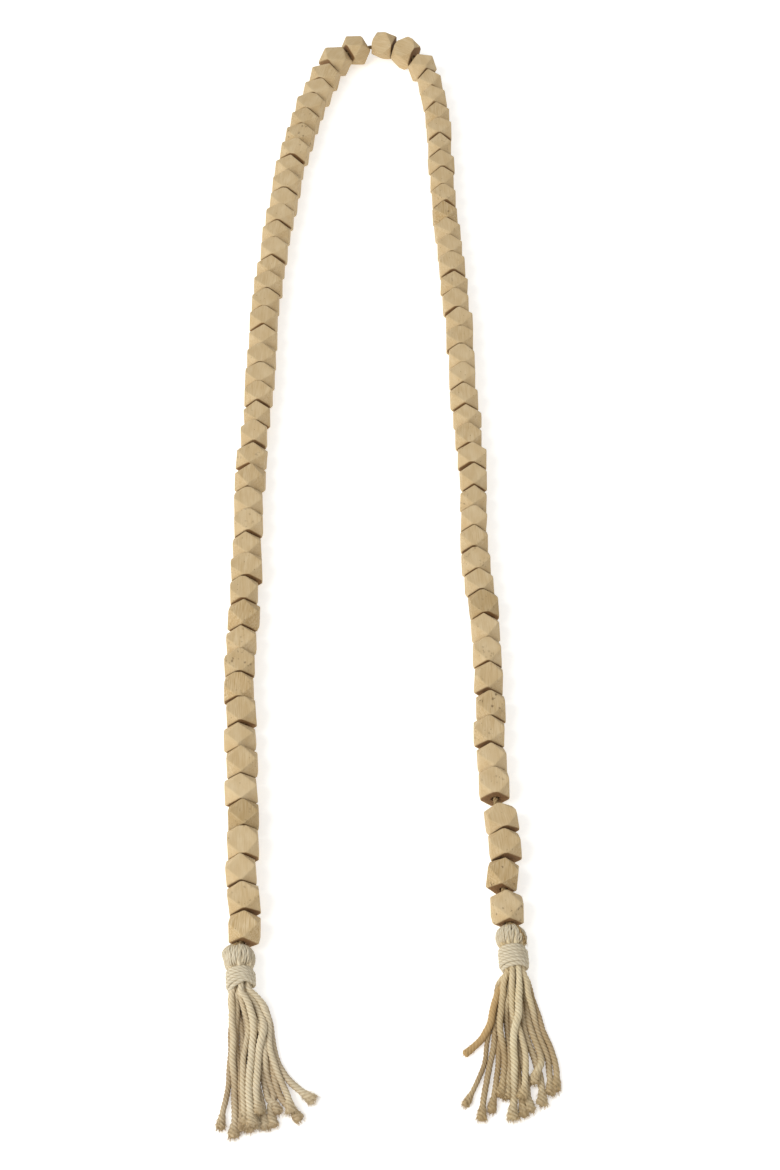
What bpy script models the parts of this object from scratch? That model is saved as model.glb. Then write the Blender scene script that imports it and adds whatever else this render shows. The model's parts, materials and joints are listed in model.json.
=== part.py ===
"""Wood bead garland lying on a surface.

Eighty-seven hand-cut beads are strung on one cotton cord, laid in a long narrow arch, and the
cord ends in two tassels of folded cotton cords, each held by a wound binding. Metres, +Z up:
the surface is z = 0, +Y runs up the arch and the tassels lie at -Y.
"""
import bisect
import math
import random

import bmesh
import bpy
import numpy as np
from mathutils import Matrix, Vector

MM = 0.001
COLLECTION = "wood_bead_garland"

# Beads: a block with its eight corners sliced off, strung through two opposite faces
BEADS = 87
BEAD_RUNS = (  # last bead of the run, mean width in mm, length as a share of the mean length
    (21, 15.2, 1.025), (35, 16.0, 0.99), (42, 16.7, 0.99), (47, 15.6, 0.95),
    (67, 14.7, 1.0), (75, 14.4, 0.96), (79, 14.5, 1.05), (83, 14.8, 1.0), (BEADS, 15.1, 0.95),
)
BEAD_HEIGHT = 15.2 * MM
WIDTH_SPREAD = 0.45 * MM
HEIGHT_SPREAD = 0.3 * MM
LENGTH_SPREAD = 0.05  # share of a bead's length
OFF_CENTRE = 0.45 * MM  # how far the hole may be off the block's middle, sideways
CORNER_CUT = (0.80, 1.06)  # share of half an edge that a corner's cut takes off
CORNER_SPREAD = 0.09
CUT_TURN = math.radians(4.0)
FACE_TURN = math.radians(1.6)
YAW_SPREAD = math.radians(2.2)
BLANK = 1.1  # the block before its faces are cut, as a share of the bead
SHORTEST_EDGE = 0.1 * MM
SEED = 41

# String and its hole
CORD_RADIUS = 1.4 * MM
BORE_RADIUS = 2.2 * MM
FITTING_ROUNDS = 8
TILTS = [math.radians(angle) for angle in (-12, -8, -4, 0, 4, 8, 12)]
CORD_HEIGHT = 7.6 * MM
CLEARANCE = 0.3 * MM
WELD = 0.01 * MM
PAIR_OVERLAP = 0.25 * MM
ARC_START = 0.300  # above this y the string bends sharply
CORD_STEPS = (17 * MM, 5.5 * MM)  # between the cord's points, on the legs and in the arc
ARC_LIFT = 1.2 * MM  # the string rides higher through the beads that lie turned over
ARC_RISE = 35 * MM
MIDDLE = (0.64 * MM, 2.23 * MM)  # puts the middle of the whole garland on the origin

# Route of the string in mm, seen from above: up the left leg, round the arc, down the right leg
ROUTE = (
    (-67.6, -281.8), (-66.4, -265.0), (-68.3, -245.0), (-69.2, -225.0), (-69.8, -205.0),
    (-71.3, -185.0), (-72.4, -160.0), (-74.0, -138.0), (-74.2, -112.0), (-73.5, -88.0),
    (-73.7, -62.0), (-74.0, -36.0), (-74.2, -8.0), (-72.5, 21.0), (-71.8, 49.0),
    (-71.2, 80.0), (-70.9, 111.0), (-69.4, 143.0), (-66.2, 176.0), (-63.0, 211.0),
    (-59.2, 245.0), (-53.0, 278.0), (-46.7, 305.0), (-40.8, 324.5), (-31.6, 346.0),
    (-18.6, 356.2), (-4.0, 359.3), (11.0, 354.8), (22.8, 342.3), (29.0, 326.5),
    (32.2, 308.0), (34.3, 282.0), (35.8, 245.0), (37.2, 211.0), (40.0, 176.0),
    (42.1, 143.0), (44.0, 111.0), (45.9, 80.0), (46.8, 49.0), (48.3, 21.0),
    (50.2, -8.0), (48.9, -36.0), (49.8, -62.0), (52.7, -89.0), (54.3, -114.0),
    (54.8, -139.0), (54.7, -163.0), (55.6, -187.0), (56.6, -209.0), (59.4, -228.0),
    (58.2, -247.0), (59.8, -262.0), (60.4, -271.8),
)

# Joints with more than the usual gap: bead before it, extra gap in mm
WIDE_JOINTS = {79: 1.0, 83: 4.2, 86: 1.4}
# Beads unlike the rest of their run: turn about the vertical and about the string in degrees,
# shift and extra width in mm, deeper cut as a share of half an edge, extra length as a share
UNLIKE = {
    1: (0, 0, 0.8, -0.3, 0.0, 0.0), 2: (0, 0, -0.5, 0.0, 0.0, 0.0),
    3: (0, 0, -0.9, -0.9, 0.0, 0.0), 6: (2, 0, -0.8, 1.0, 0.0, 0.0),
    8: (-2, 0, -0.8, 1.5, 0.1, 0.0), 10: (0, 0, -0.7, -1.0, 0.0, 0.0),
    11: (0, 0, -0.3, 0.0, 0.0, -0.1), 12: (3, 0, -0.2, 0.6, 0.0, 0.0),
    13: (0, 0, 0.1, 1.2, 0.1, 0.1), 14: (-2, 0, -1.4, -0.3, 0.0, 0.0),
    15: (4, 0, 0.4, 1.0, -0.1, 0.0), 19: (0, 0, -0.5, 1.3, 0.1, 0.05),
    20: (-3, 0, -0.9, 1.2, 0.0, 0.0), 21: (0, 0, -1.5, -0.4, 0.0, 0.0),
    22: (3, 0, 0.0, -1.8, 0.0, 0.0), 23: (0, 0, -0.5, -1.0, 0.0, 0.0),
    27: (-3, 0, -0.8, -0.3, 0.0, 0.0), 32: (0, 0, -0.6, 0.6, 0.0, 0.0),
    34: (0, 0, 0.6, 0.0, 0.0, 0.0), 41: (0, 0, 0.7, 0.0, 0.0, 0.0),
    43: (0, 4, -0.3, 1.2, -0.1, 0.13), 44: (14, -10, 0.0, 0.5, 0.05, -0.06),
    45: (-12, 38, 0.0, -1.0, -0.15, 0.0), 46: (8, 16, 0.0, 0.2, -0.1, -0.02),
    47: (0, 6, 0.0, 0.0, 0.08, 0.0),
    48: (0, 4, 0.0, 0.0, 0.0, 0.1), 49: (0, 8, 0.8, 0.6, 0.1, 0.0),
    51: (0, 0, 0.0, 0.0, 0.0, -0.1), 53: (3, 0, 0.4, 1.3, 0.0, 0.0),
    60: (-3, 0, -0.3, 1.3, 0.0, 0.0), 62: (0, 0, -1.0, 0.9, 0.1, 0.0),
    63: (0, 0, 0.6, 1.3, 0.0, 0.0), 65: (0, 0, 1.2, 0.6, 0.0, 0.0),
    66: (2, 0, 0.9, 0.6, 0.0, 0.0), 67: (0, 0, 0.0, 1.3, 0.1, 0.0),
    69: (-3, 0, -0.7, 1.0, 0.0, 0.0), 75: (0, 0, -0.8, 0.8, 0.0, 0.0),
    76: (0, 0, -0.8, 0.5, 0.0, 0.0), 79: (-3, 0, 0.2, 0.0, 0.0, 0.0),
    80: (3, 0, -0.2, 0.0, 0.1, 0.0), 81: (0, 0, 0.9, 0.4, 0.0, 0.0),
    82: (3, 0, 0.8, -0.4, 0.0, 0.0), 84: (2, 0, -0.8, 0.0, 0.0, 0.0),
    85: (4, 0, -0.6, 0.0, -0.1, 0.0), 86: (-7, 0, 0.0, 0.0, 0.1, 0.0),
    87: (0, 0, 0.0, 0.0, 0.0, 0.12),
}
# Beads in a node of their own; the others are joined two by two
SINGLES = (43, 44, 45, 46, 47, 86, 87)

# Tassels: strands folded over the string's end, bound, and spread on the surface
HEAD_DROP = 1.0 * MM  # from the string's end down to the top of the head
AXIS_HEIGHT = 7.3 * MM
RING_WIDTH = 3.7 * MM  # half width and half height of the bound strands' middles
RING_HEIGHT = 3.4 * MM
INNER_RING = 0.42
BOUND_MARGIN = 3.0 * MM  # how far past the binding the strands still run straight
OUTER_STRANDS = 10
STRAND_RADII = (  # distance from the top of the head in mm, strand's radius in mm
    (0.0, 1.3), (25.0, 1.3), (32.0, 1.5), (110.0, 1.6),
)
SIZE_FROM, SIZE_WHOLE = 25.0, 32.0  # between these, in mm, a strand takes on its own thickness
SPINE_POINTS = 41
TUBE_START = 18 * MM  # the strands' tubes start inside the binding
TUBE_STRIDE = 3  # spine points to one of the tube's
MERGE = 0.2 * MM  # how far touching strands reach into each other, which makes them one body
LOWER_ANGLES = (-172, -8)  # degrees round the bundle that the lower, upper and inner strands fill
UPPER_ANGLES = (150, 30)
INNER_ANGLES = (160, 20)
SETTLE_STEPS = 160
PUSH = 0.25  # share of an overlap that a step takes out, from each strand
SINK = 0.05 * MM  # how far a step lets a strand down
RETURN = 0.04  # share of the way back to its own line that a step takes a strand
SMOOTH = 0.3
BENDS = (0.25, 0.5, 0.75)  # where a free strand bends, as shares of the way to its end
LAYER_RISE = 1.8  # height of one layer of strands over another, in strand radii
HEAD_RINGS = (  # share of the head's length, half width and half height of its surface in mm
    (0.0, 2.6, 2.3), (0.1, 4.8, 4.4), (0.32, 6.7, 6.1), (0.62, 7.2, 6.6), (0.9, 6.8, 6.3),
    (1.0, 4.8, 4.5),
)
NECK = (4.3, 4.0)  # half width and half height of the core under the binding in mm
NECK_REACH = 1.5 * MM  # how far the core goes on past the binding
HEAD_FLUTES = 14
FLUTE_DEPTH = 0.16  # share of the head's radius
BINDING_CORD = 1.6 * MM
TURN_PROFILE = ((0.08, 0.55), (0.5, 1.0), (0.92, 0.55))  # share of a turn, share of its cord
BINDING_SIDES = 18

# Strands of each tassel in mm from the top of its head: sideways at the three bends and at the
# end, distance down to the end, thickness as a share of the usual one, layer
LEFT_STRANDS = (
    (-2.1, -0.9, 1.3, 0.4, 91, 1.05, 1), (-2.3, -2.1, -3.6, -6.0, 87, 0.85, 0),
    (-0.6, 1.1, 3.1, 4.3, 88, 0.95, 0), (5.0, 3.7, 4.2, 5.6, 86, 0.9, 1),
    (8.8, 6.6, 6.8, 7.5, 87, 1.15, 2), (13.2, 9.8, 9.2, 9.9, 82, 1.1, 1),
    (13.5, 15.8, 20.3, 36.0, 74, 1.05, 0), (10.7, 12.3, 13.8, 19.1, 80, 1.0, 0),
    (12.4, 14.6, 18.9, 30.0, 83, 1.0, 0), (13.5, 16.1, 20.3, 26.9, 80, 0.95, 1),
    (6.3, 8.0, 10.8, 14.8, 87, 0.95, 0), (4.0, 5.7, 7.6, 11.1, 87, 0.9, 0),
    (10.3, 12.2, 16.2, 18.4, 86, 1.0, 0), (1.1, 2.3, 4.7, 7.7, 88, 0.95, 0),
)
RIGHT_STRANDS = (
    (-8.7, -11.4, -14.4, -22.6, 86, 0.72, 0), (-6.4, -8.5, -11.1, -22.7, 62, 1.05, 1),
    (-6.6, -8.7, -12.8, -14.8, 93, 0.9, 0), (-5.3, -5.8, -3.1, -7.0, 82, 1.0, 1),
    (-4.3, -5.9, -7.0, -10.8, 89, 0.85, 0), (-3.3, -2.3, -1.6, -2.8, 83, 0.9, 1),
    (0.1, 3.6, 5.7, 3.1, 84, 0.95, 1), (3.1, 0.7, -0.6, -0.5, 93, 1.15, 2),
    (7.5, 9.0, 13.6, 10.0, 76, 1.05, 1), (10.3, 14.3, 19.5, 19.2, 79, 0.95, 0),
    (8.7, 12.1, 17.0, 16.1, 81, 0.95, 1), (5.6, 6.4, 12.1, 12.4, 86, 1.0, 0),
    (1.8, 3.7, 5.4, 7.4, 89, 0.95, 0), (0.0, 0.2, 2.3, 3.9, 91, 0.9, 0),
)


def clear_scene():
    """Removes what is in the scene."""
    for obj in list(bpy.data.objects):
        bpy.data.objects.remove(obj)


def new_collection(name):
    """A collection in the scene."""
    made = bpy.data.collections.new(name)
    bpy.context.scene.collection.children.link(made)
    return made


def material(name, colour, roughness):
    """A plain Principled finish."""
    made = bpy.data.materials.new(name)
    made.use_nodes = True
    shader = made.node_tree.nodes["Principled BSDF"]
    shader.inputs["Base Color"].default_value = (*colour, 1.0)
    shader.inputs["Roughness"].default_value = roughness
    shader.inputs["Metallic"].default_value = 0.0
    return made


def add_object(name, mesh, collection, finish=None):
    """An object of a mesh, in a collection."""
    obj = bpy.data.objects.new(name, mesh)
    collection.objects.link(obj)
    if finish:
        mesh.materials.append(finish)
    return obj


def hide(obj):
    """Marks a cutter or a guide."""
    obj.hide_render = True
    obj.display_type = "WIRE"
    return obj


class Route:
    """A smooth curve through points, read by distance along it."""

    SAMPLES = 24

    def __init__(self, points):
        """points are Vectors; the curve passes through each."""
        ends = [2 * points[0] - points[1], *points, 2 * points[-1] - points[-2]]
        self.points = [points[0]]
        for before, start, stop, after in zip(ends, ends[1:], ends[2:], ends[3:]):
            for i in range(1, self.SAMPLES + 1):
                t = i / self.SAMPLES
                self.points.append(
                    0.5 * (2 * start + (stop - before) * t
                           + (2 * before - 5 * start + 4 * stop - after) * t * t
                           + (3 * start - before - 3 * stop + after) * t ** 3)
                )
        self.distances = [0.0]
        for a, b in zip(self.points, self.points[1:]):
            self.distances.append(self.distances[-1] + (b - a).length)
        self.length = self.distances[-1]

    def at(self, distance):
        """The point at a distance from the start."""
        i = min(max(bisect.bisect_right(self.distances, distance) - 1, 0), len(self.points) - 2)
        share = (distance - self.distances[i]) / (self.distances[i + 1] - self.distances[i])
        return self.points[i].lerp(self.points[i + 1], share)

    def sampled(self, steps):
        """Points along the whole curve, closer together in the arc than on the legs."""
        found = [self.at(0.0)]
        distance = 0.0
        while distance < self.length:
            in_arc = found[-1].y > ARC_START
            distance += steps[1] if in_arc else steps[0]
            found.append(self.at(min(distance, self.length)))
        return found


def tube_mesh(name, points, radii, resolution=2):
    """A closed tube through points, as a mesh with welded caps."""
    curve = bpy.data.curves.new(name, "CURVE")
    curve.dimensions = "3D"
    curve.bevel_depth = 1.0
    curve.bevel_resolution = resolution
    curve.use_fill_caps = True
    spline = curve.splines.new("POLY")
    spline.points.add(len(points) - 1)
    for target, point, radius in zip(spline.points, points, radii):
        target.co = (*point, 1.0)
        target.radius = radius
    guide = bpy.data.objects.new(name, curve)
    bpy.context.scene.collection.objects.link(guide)
    graph = bpy.context.evaluated_depsgraph_get()
    mesh = bpy.data.meshes.new_from_object(guide.evaluated_get(graph))
    bpy.data.objects.remove(guide)
    welded = bmesh.new()
    welded.from_mesh(mesh)
    bmesh.ops.remove_doubles(welded, verts=welded.verts, dist=WELD)
    bmesh.ops.recalc_face_normals(welded, faces=welded.faces)
    welded.to_mesh(mesh)
    welded.free()
    return mesh


def slice_off(block, point, normal):
    """Cuts away what lies beyond a plane and closes the cut."""
    geometry = block.verts[:] + block.edges[:] + block.faces[:]
    cut = bmesh.ops.bisect_plane(
        block, geom=geometry, plane_co=point, plane_no=normal, clear_outer=True
    )
    edges = [item for item in cut["geom_cut"] if isinstance(item, bmesh.types.BMEdge)]
    if edges:
        bmesh.ops.contextual_create(block, geom=edges)


class Bead:
    """One hand-cut bead: its sizes, its cuts and where it sits."""

    def __init__(self, number, draw):
        """Draws the sizes and cuts of bead number from a seeded source."""
        mean, longer = next(run[1:] for run in BEAD_RUNS if number <= run[0])
        self.number = number
        self.width = mean * MM + draw.uniform(-1, 1) * WIDTH_SPREAD
        self.height = BEAD_HEIGHT + draw.uniform(-1, 1) * HEIGHT_SPREAD
        self.length = longer * (1 + draw.uniform(-1, 1) * LENGTH_SPREAD)
        self.yaw = draw.uniform(-1, 1) * YAW_SPREAD
        self.shift = draw.uniform(-1, 1) * OFF_CENTRE
        turn, roll, shift, wider, deeper, extra = UNLIKE.get(number, (0, 0, 0, 0, 0, 0))
        self.yaw += math.radians(turn)
        self.roll = math.radians(roll)
        self.shift += shift * MM
        self.width += wider * MM
        self.length *= 1 + extra
        self.cut = draw.uniform(*CORNER_CUT) + deeper
        self.corner_draws = [[draw.uniform(-1, 1) for _ in range(3)] for _ in range(8)]
        self.face_draws = [[draw.uniform(-1, 1) for _ in range(2)] for _ in range(3)]
        self.matrix = Matrix.Identity(4)
        self.corners = []

    def place(self, route, distance):
        """Sets the bead on the string at a distance along it, down on the surface."""
        ahead = route.at(distance + self.length / 2) - route.at(distance - self.length / 2)
        point = route.at(distance)
        heading = math.atan2(-ahead.x, ahead.y) + self.yaw
        turned = Matrix.Rotation(heading, 4, "Z") @ Matrix.Rotation(self.roll, 4, "Y")
        block = self.block()
        points = [vert.co.copy() for vert in block.verts]
        block.free()
        lift = -min((turned @ corner).z for corner in points)
        aside = turned @ Vector((self.shift, 0, 0))
        middle = Vector((point.x + aside.x, point.y + aside.y, lift))
        self.matrix = Matrix.Translation(middle) @ turned
        self.corners = [self.matrix @ corner for corner in points]

    def reach(self, direction):
        """How far the bead goes in a direction."""
        return max(corner.dot(direction) for corner in self.corners)

    def ahead(self):
        """The direction along the string at the bead."""
        return self.matrix.to_3x3() @ Vector((0, 1, 0))

    def block(self):
        """The bead's solid as a bmesh, with no hole, around its own middle."""
        half = Vector((self.width / 2, self.length / 2, self.height / 2))
        block = bmesh.new()
        bmesh.ops.create_cube(block, size=1.0)
        bmesh.ops.scale(block, vec=half * 2 * BLANK, verts=block.verts)
        slice_off(block, (0, 0, -half.z), (0, 0, -1))
        slice_off(block, (0, half.y, 0), (0, 1, 0))
        slice_off(block, (0, -half.y, 0), (0, -1, 0))
        for face, (first, second) in zip(((-1, 0, 0), (1, 0, 0), (0, 0, 1)), self.face_draws):
            normal = Vector(face)
            normal.rotate(Matrix.Rotation(first * FACE_TURN, 3, "Y"))
            normal.rotate(Matrix.Rotation(second * FACE_TURN, 3, "Z" if face[0] else "X"))
            slice_off(block, Vector(face) * half, normal)
        corners = [(x, y, z) for x in (-1, 1) for y in (-1, 1) for z in (-1, 1)]
        for corner, (depth, first, second) in zip(corners, self.corner_draws):
            cut = self.cut + depth * CORNER_SPREAD
            normal = Vector(side / size for side, size in zip(corner, half)).normalized()
            normal.rotate(Matrix.Rotation(first * CUT_TURN, 3, "X"))
            normal.rotate(Matrix.Rotation(second * CUT_TURN, 3, "Z"))
            slice_off(block, Vector(corner) * half * (1 - cut / 3), normal)
        bmesh.ops.remove_doubles(block, verts=block.verts, dist=SHORTEST_EDGE)
        return block


def string_point(x, y):
    """A point of the string, which rides a little higher in the arc."""
    share = min(max((y - ARC_START) / ARC_RISE, 0.0), 1.0)
    return Vector((x + MIDDLE[0], y + MIDDLE[1], CORD_HEIGHT + ARC_LIFT * share))


def string_beads(route):
    """All beads, placed so that they fill the string from end to end and only just touch."""
    draw = random.Random(SEED)
    beads = [Bead(number, draw) for number in range(1, BEADS + 1)]
    shares = [bead.length for bead in beads]
    gaps = [CLEARANCE] * (BEADS - 1)
    for _ in range(FITTING_ROUNDS):
        free = route.length - sum(gaps) - 2 * CLEARANCE
        distance = CLEARANCE
        for bead, share, gap in zip(beads, shares, [*gaps, 0.0]):
            bead.length = share * free / sum(shares)
            bead.place(route, distance + bead.length / 2)
            distance += bead.length + gap
        for i, (bead, after) in enumerate(zip(beads, beads[1:])):
            gaps[i] += wanted_gap(bead) - gap_between(bead, after)
    return beads


def wanted_gap(bead):
    """The gap after a bead; two beads in one node overlap a little, which makes them one body."""
    extra = WIDE_JOINTS.get(bead.number, 0.0) * MM
    return extra + (-PAIR_OVERLAP if joined(bead.number) else CLEARANCE)


def gap_between(bead, after):
    """The gap between two beads: the widest slab with flat sides that fits between them."""
    middle = (bead.ahead() + after.ahead()).normalized()
    widest = -1.0
    for turn in TILTS:
        for tilt in TILTS:
            along = Matrix.Rotation(turn, 3, "Z") @ middle
            along.z += math.tan(tilt)
            along.normalize()
            widest = max(widest, -after.reach(-along) - bead.reach(along))
    return widest


def joined(number):
    """Whether a bead is the first of two in one node."""
    return number in FIRST_OF_PAIR


def pair_starts():
    """The first bead of each node that holds two."""
    found = set()
    number = 1
    while number < BEADS:
        if number in SINGLES:
            number += 1
            continue
        found.add(number)
        number += 2
    return found


FIRST_OF_PAIR = pair_starts()


def mesh_of(block, name):
    """A bead's mesh from its block."""
    mesh = bpy.data.meshes.new(name)
    bmesh.ops.recalc_face_normals(block, faces=block.faces)
    block.to_mesh(mesh)
    block.free()
    return mesh


def boolean(obj, operation, other, solver):
    """Adds a Boolean of another object."""
    modifier = obj.modifiers.new(operation.lower(), "BOOLEAN")
    modifier.operation = operation
    modifier.object = other
    modifier.solver = solver


def build_beads(route, beads, parts, cutters, wood):
    """One object a bead, or one for two beads, each bored for the string."""
    bore_points = route.sampled(CORD_STEPS)
    first, last = bore_points[0], bore_points[-1]
    bore_points[0] = first + (first - bore_points[1]).normalized() * BORE_RADIUS
    bore_points[-1] = last + (last - bore_points[-2]).normalized() * BORE_RADIUS
    bore = tube_mesh("bore_cutter", bore_points, [BORE_RADIUS] * len(bore_points))
    cutter = hide(add_object("bore_cutter", bore, cutters))
    skip = 0
    for bead, after in zip(beads, [*beads[1:], None]):
        if bead.number == skip:
            continue
        name = f"bead_{bead.number:02d}"
        if joined(bead.number):
            name = f"beads_{bead.number:02d}_{after.number:02d}"
            skip = after.number
        node = add_object(name, mesh_of(bead.block(), name), parts, wood)
        node.matrix_world = bead.matrix
        if joined(bead.number):
            other = hide(add_object(f"{name}_second", mesh_of(after.block(), name), cutters))
            other.matrix_world = after.matrix
            # The lower faces of both lie in one plane, which the exact solver can leave open
            boolean(node, "UNION", other, solver="MANIFOLD")
        # The exact solver leaves some joined pairs without their hole
        boolean(node, "DIFFERENCE", cutter, solver="MANIFOLD")


def build_cord(route, parts, cotton):
    """The string, whole, from one tassel's head to the other's."""
    points = route.sampled(CORD_STEPS)
    mesh = tube_mesh("stringing_cord", points, [CORD_RADIUS] * len(points))
    mesh.shade_smooth()
    mesh.set_sharp_from_angle(angle=math.radians(60))
    add_object("stringing_cord", mesh, parts, cotton)


class Tassel:
    """One tassel: where its head ends, its binding and its strands."""

    def __init__(self, name, end, head, binding, turns, slant, middle, lean, strands):
        """head, binding and middle in mm; slant is the turns' rise across the tassel.

        middle is how far the head's top is to the right of the string's end, lean how much
        further each part below it is, for each unit down.
        """
        self.name = name
        self.place = Matrix.Translation((end.x, end.y - HEAD_DROP, 0))
        self.head = head * MM
        self.binding = binding * MM
        self.bound = self.head + self.binding
        self.turns = turns
        self.slant = slant
        self.middle = middle * MM
        self.lean = lean
        self.strands = strands

    def aside(self, down):
        """How far the tassel's axis is to the right at a distance from the top of the head."""
        return self.middle + self.lean * min(down, self.bound)


def strand_radius(down, size=1.0):
    """A strand's radius at a distance from the top of the head."""
    places, radii = zip(*STRAND_RADII)
    own = 1 + (size - 1) * np.interp(down / MM, (SIZE_FROM, SIZE_WHOLE), (0, 1))
    return float(np.interp(down / MM, places, radii) * own) * MM


def ring_places(strands):
    """Where each strand passes the binding: angle round the bundle and share of its radius.

    Strands that end further to one side pass on that side; upper ones pass over lower ones.
    """
    order = sorted(range(len(strands)), key=lambda i: strands[i][0])
    inner = order[2:-2:3][: len(strands) - OUTER_STRANDS]
    lower = [i for i in order if i not in inner and strands[i][-1] == 0]
    upper = [i for i in order if i not in inner and strands[i][-1] > 0]
    places = {}
    groups = (
        (lower, LOWER_ANGLES, 1.0), (upper, UPPER_ANGLES, 1.0), (inner, INNER_ANGLES, INNER_RING),
    )
    for group, angles, share in groups:
        for i, angle in zip(group, np.linspace(*angles, len(group))):
            places[i] = (math.radians(angle), share)
    return places


def strand_path(tassel, row, angle, share):
    """One strand's points, evenly spaced from inside the head to its end."""
    *sideways, along, _, layer = row
    ring = Vector((math.cos(angle) * share * RING_WIDTH, 0, math.sin(angle) * share * RING_HEIGHT))
    ring.z += AXIS_HEIGHT
    end = along * MM
    height = strand_radius(end) * (1 + LAYER_RISE * layer)
    points = [
        ring + Vector((tassel.aside(down), -down, 0)) for down in (0, tassel.head, tassel.bound)
    ]
    for x, free in zip(sideways, (*BENDS, 1.0)):
        down = tassel.bound + free * (end - tassel.bound)
        z = ring.z + min(1.0, free / BENDS[-1]) * (height - ring.z)
        points.append(Vector((x * MM, -down, z)))
    route = Route(points)
    path = [route.at(route.length * i / (SPINE_POINTS - 1)) for i in range(SPINE_POINTS)]
    for point in path:
        if -point.y < tassel.bound + BOUND_MARGIN:
            point.x, point.z = ring.x + tassel.aside(-point.y), ring.z
    return path


def settle(paths, radii, bound):
    """Pushes strands apart until they only touch and lets them down onto the surface."""
    count, length, _ = paths.shape
    goal = paths[..., :2].copy()
    owner = np.repeat(np.arange(count), length)
    reach = np.add.outer(radii.reshape(-1), radii.reshape(-1))
    other = owner[:, None] != owner[None, :]
    loose = (-paths[..., 1] > bound + BOUND_MARGIN)[..., None].astype(float)
    for _ in range(SETTLE_STEPS):
        flat = paths.reshape(-1, 3)
        apart = flat[:, None] - flat[None]
        away = np.sqrt((apart ** 2).sum(-1)) + 1e-9
        push = np.where(other & (away < reach), PUSH * (reach - away) / away, 0.0)
        move = (apart * push[..., None]).sum(1).reshape(paths.shape)
        move[..., 2] -= SINK
        move[..., :2] += RETURN * (goal - paths[..., :2])
        paths = paths + move * loose
        bend = (paths[:, :-2] + paths[:, 2:]) / 2 - paths[:, 1:-1]
        paths[:, 1:-1] += SMOOTH * bend * loose[:, 1:-1]
        paths[..., 2] = np.maximum(paths[..., 2], radii + MERGE)
    return paths


def largest_shell(mesh):
    """Fills the small hollows between strands: keeps only the outer surface."""
    block = bmesh.new()
    block.from_mesh(mesh)
    unseen = set(block.faces)
    shells = []
    while unseen:
        stack = [unseen.pop()]
        shell = []
        while stack:
            face = stack.pop()
            shell.append(face)
            nearby = {other for edge in face.edges for other in edge.link_faces} & unseen
            unseen -= nearby
            stack.extend(nearby)
        shells.append(shell)
    shells.sort(key=len)
    for shell in shells[:-1]:
        bmesh.ops.delete(block, geom=shell, context="FACES")
    block.to_mesh(mesh)
    block.free()


def build_strands(tassel, parts, cutters, cotton):
    """One solid of all the strands of a tassel, a comb from its head to its cut ends."""
    name = f"tassel_{tassel.name}_strands"
    places = ring_places(tassel.strands)
    paths = np.array([strand_path(tassel, row, *places[i]) for i, row in enumerate(tassel.strands)])
    radii = np.array([
        [strand_radius(-point[1], row[-2]) for point in path]
        for row, path in zip(tassel.strands, paths)
    ])
    picks = [tube_picks(path, tassel.bound) for path in paths]
    paths = settle(paths, radii, tassel.bound)
    group = bpy.data.collections.new(f"{name}_tubes")
    cutters.children.link(group)
    for i, (path, radius, kept) in enumerate(zip(paths, radii, picks)):
        points = [Vector(path[k]) for k in kept]
        mesh = tube_mesh(f"{name}_strand", points, [radius[k] + MERGE for k in kept])
        hide(add_object(f"{name}_strand_{i}", mesh, group))
    head = add_object(name, head_mesh(tassel), parts, cotton)
    modifier = head.modifiers.new("union", "BOOLEAN")
    modifier.operation = "UNION"
    modifier.operand_type = "COLLECTION"
    modifier.collection = group
    modifier.solver = "EXACT"
    graph = bpy.context.evaluated_depsgraph_get()
    whole = bpy.data.meshes.new_from_object(head.evaluated_get(graph))
    largest_shell(whole)
    whole.materials.clear()
    whole.materials.append(cotton)
    head.modifiers.clear()
    head.data = whole
    head.matrix_world = tassel.place


def tube_picks(path, bound):
    """Which spine points a strand's tube passes: from inside the binding to the end."""
    last = len(path) - 1
    start = next(i for i, point in enumerate(path) if -point[1] > TUBE_START)
    free = next(i for i, point in enumerate(path) if -point[1] > bound + BOUND_MARGIN)
    return [start, free - 1, *range(free + 2, last - 1, TUBE_STRIDE), last]


def head_mesh(tassel):
    """The fluted head and the core of the bound neck, lofted through rings."""
    block = bmesh.new()
    sizes = [(share * tassel.head, width, height) for share, width, height in HEAD_RINGS]
    sizes.append((tassel.bound + NECK_REACH, *NECK))
    rings = []
    for down, width, height in sizes:
        slant = tassel.slant * min(down / tassel.head, 1.0)
        ring = []
        for i in range(2 * HEAD_FLUTES):
            angle = math.pi * i / HEAD_FLUTES
            share = 1 - FLUTE_DEPTH * (i % 2)
            x = width * share * math.cos(angle) * MM
            z = height * share * math.sin(angle) * MM + AXIS_HEIGHT
            ring.append(block.verts.new((x + tassel.aside(down), slant * x - down, z)))
        rings.append(ring)
    for ring, below in zip(rings, rings[1:]):
        for i in range(2 * HEAD_FLUTES):
            block.faces.new((ring[i - 1], ring[i], below[i], below[i - 1]))
    block.faces.new(rings[0])
    block.faces.new(rings[-1])
    bmesh.ops.recalc_face_normals(block, faces=block.faces)
    mesh = bpy.data.meshes.new("head")
    block.to_mesh(mesh)
    block.free()
    return mesh


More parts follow.
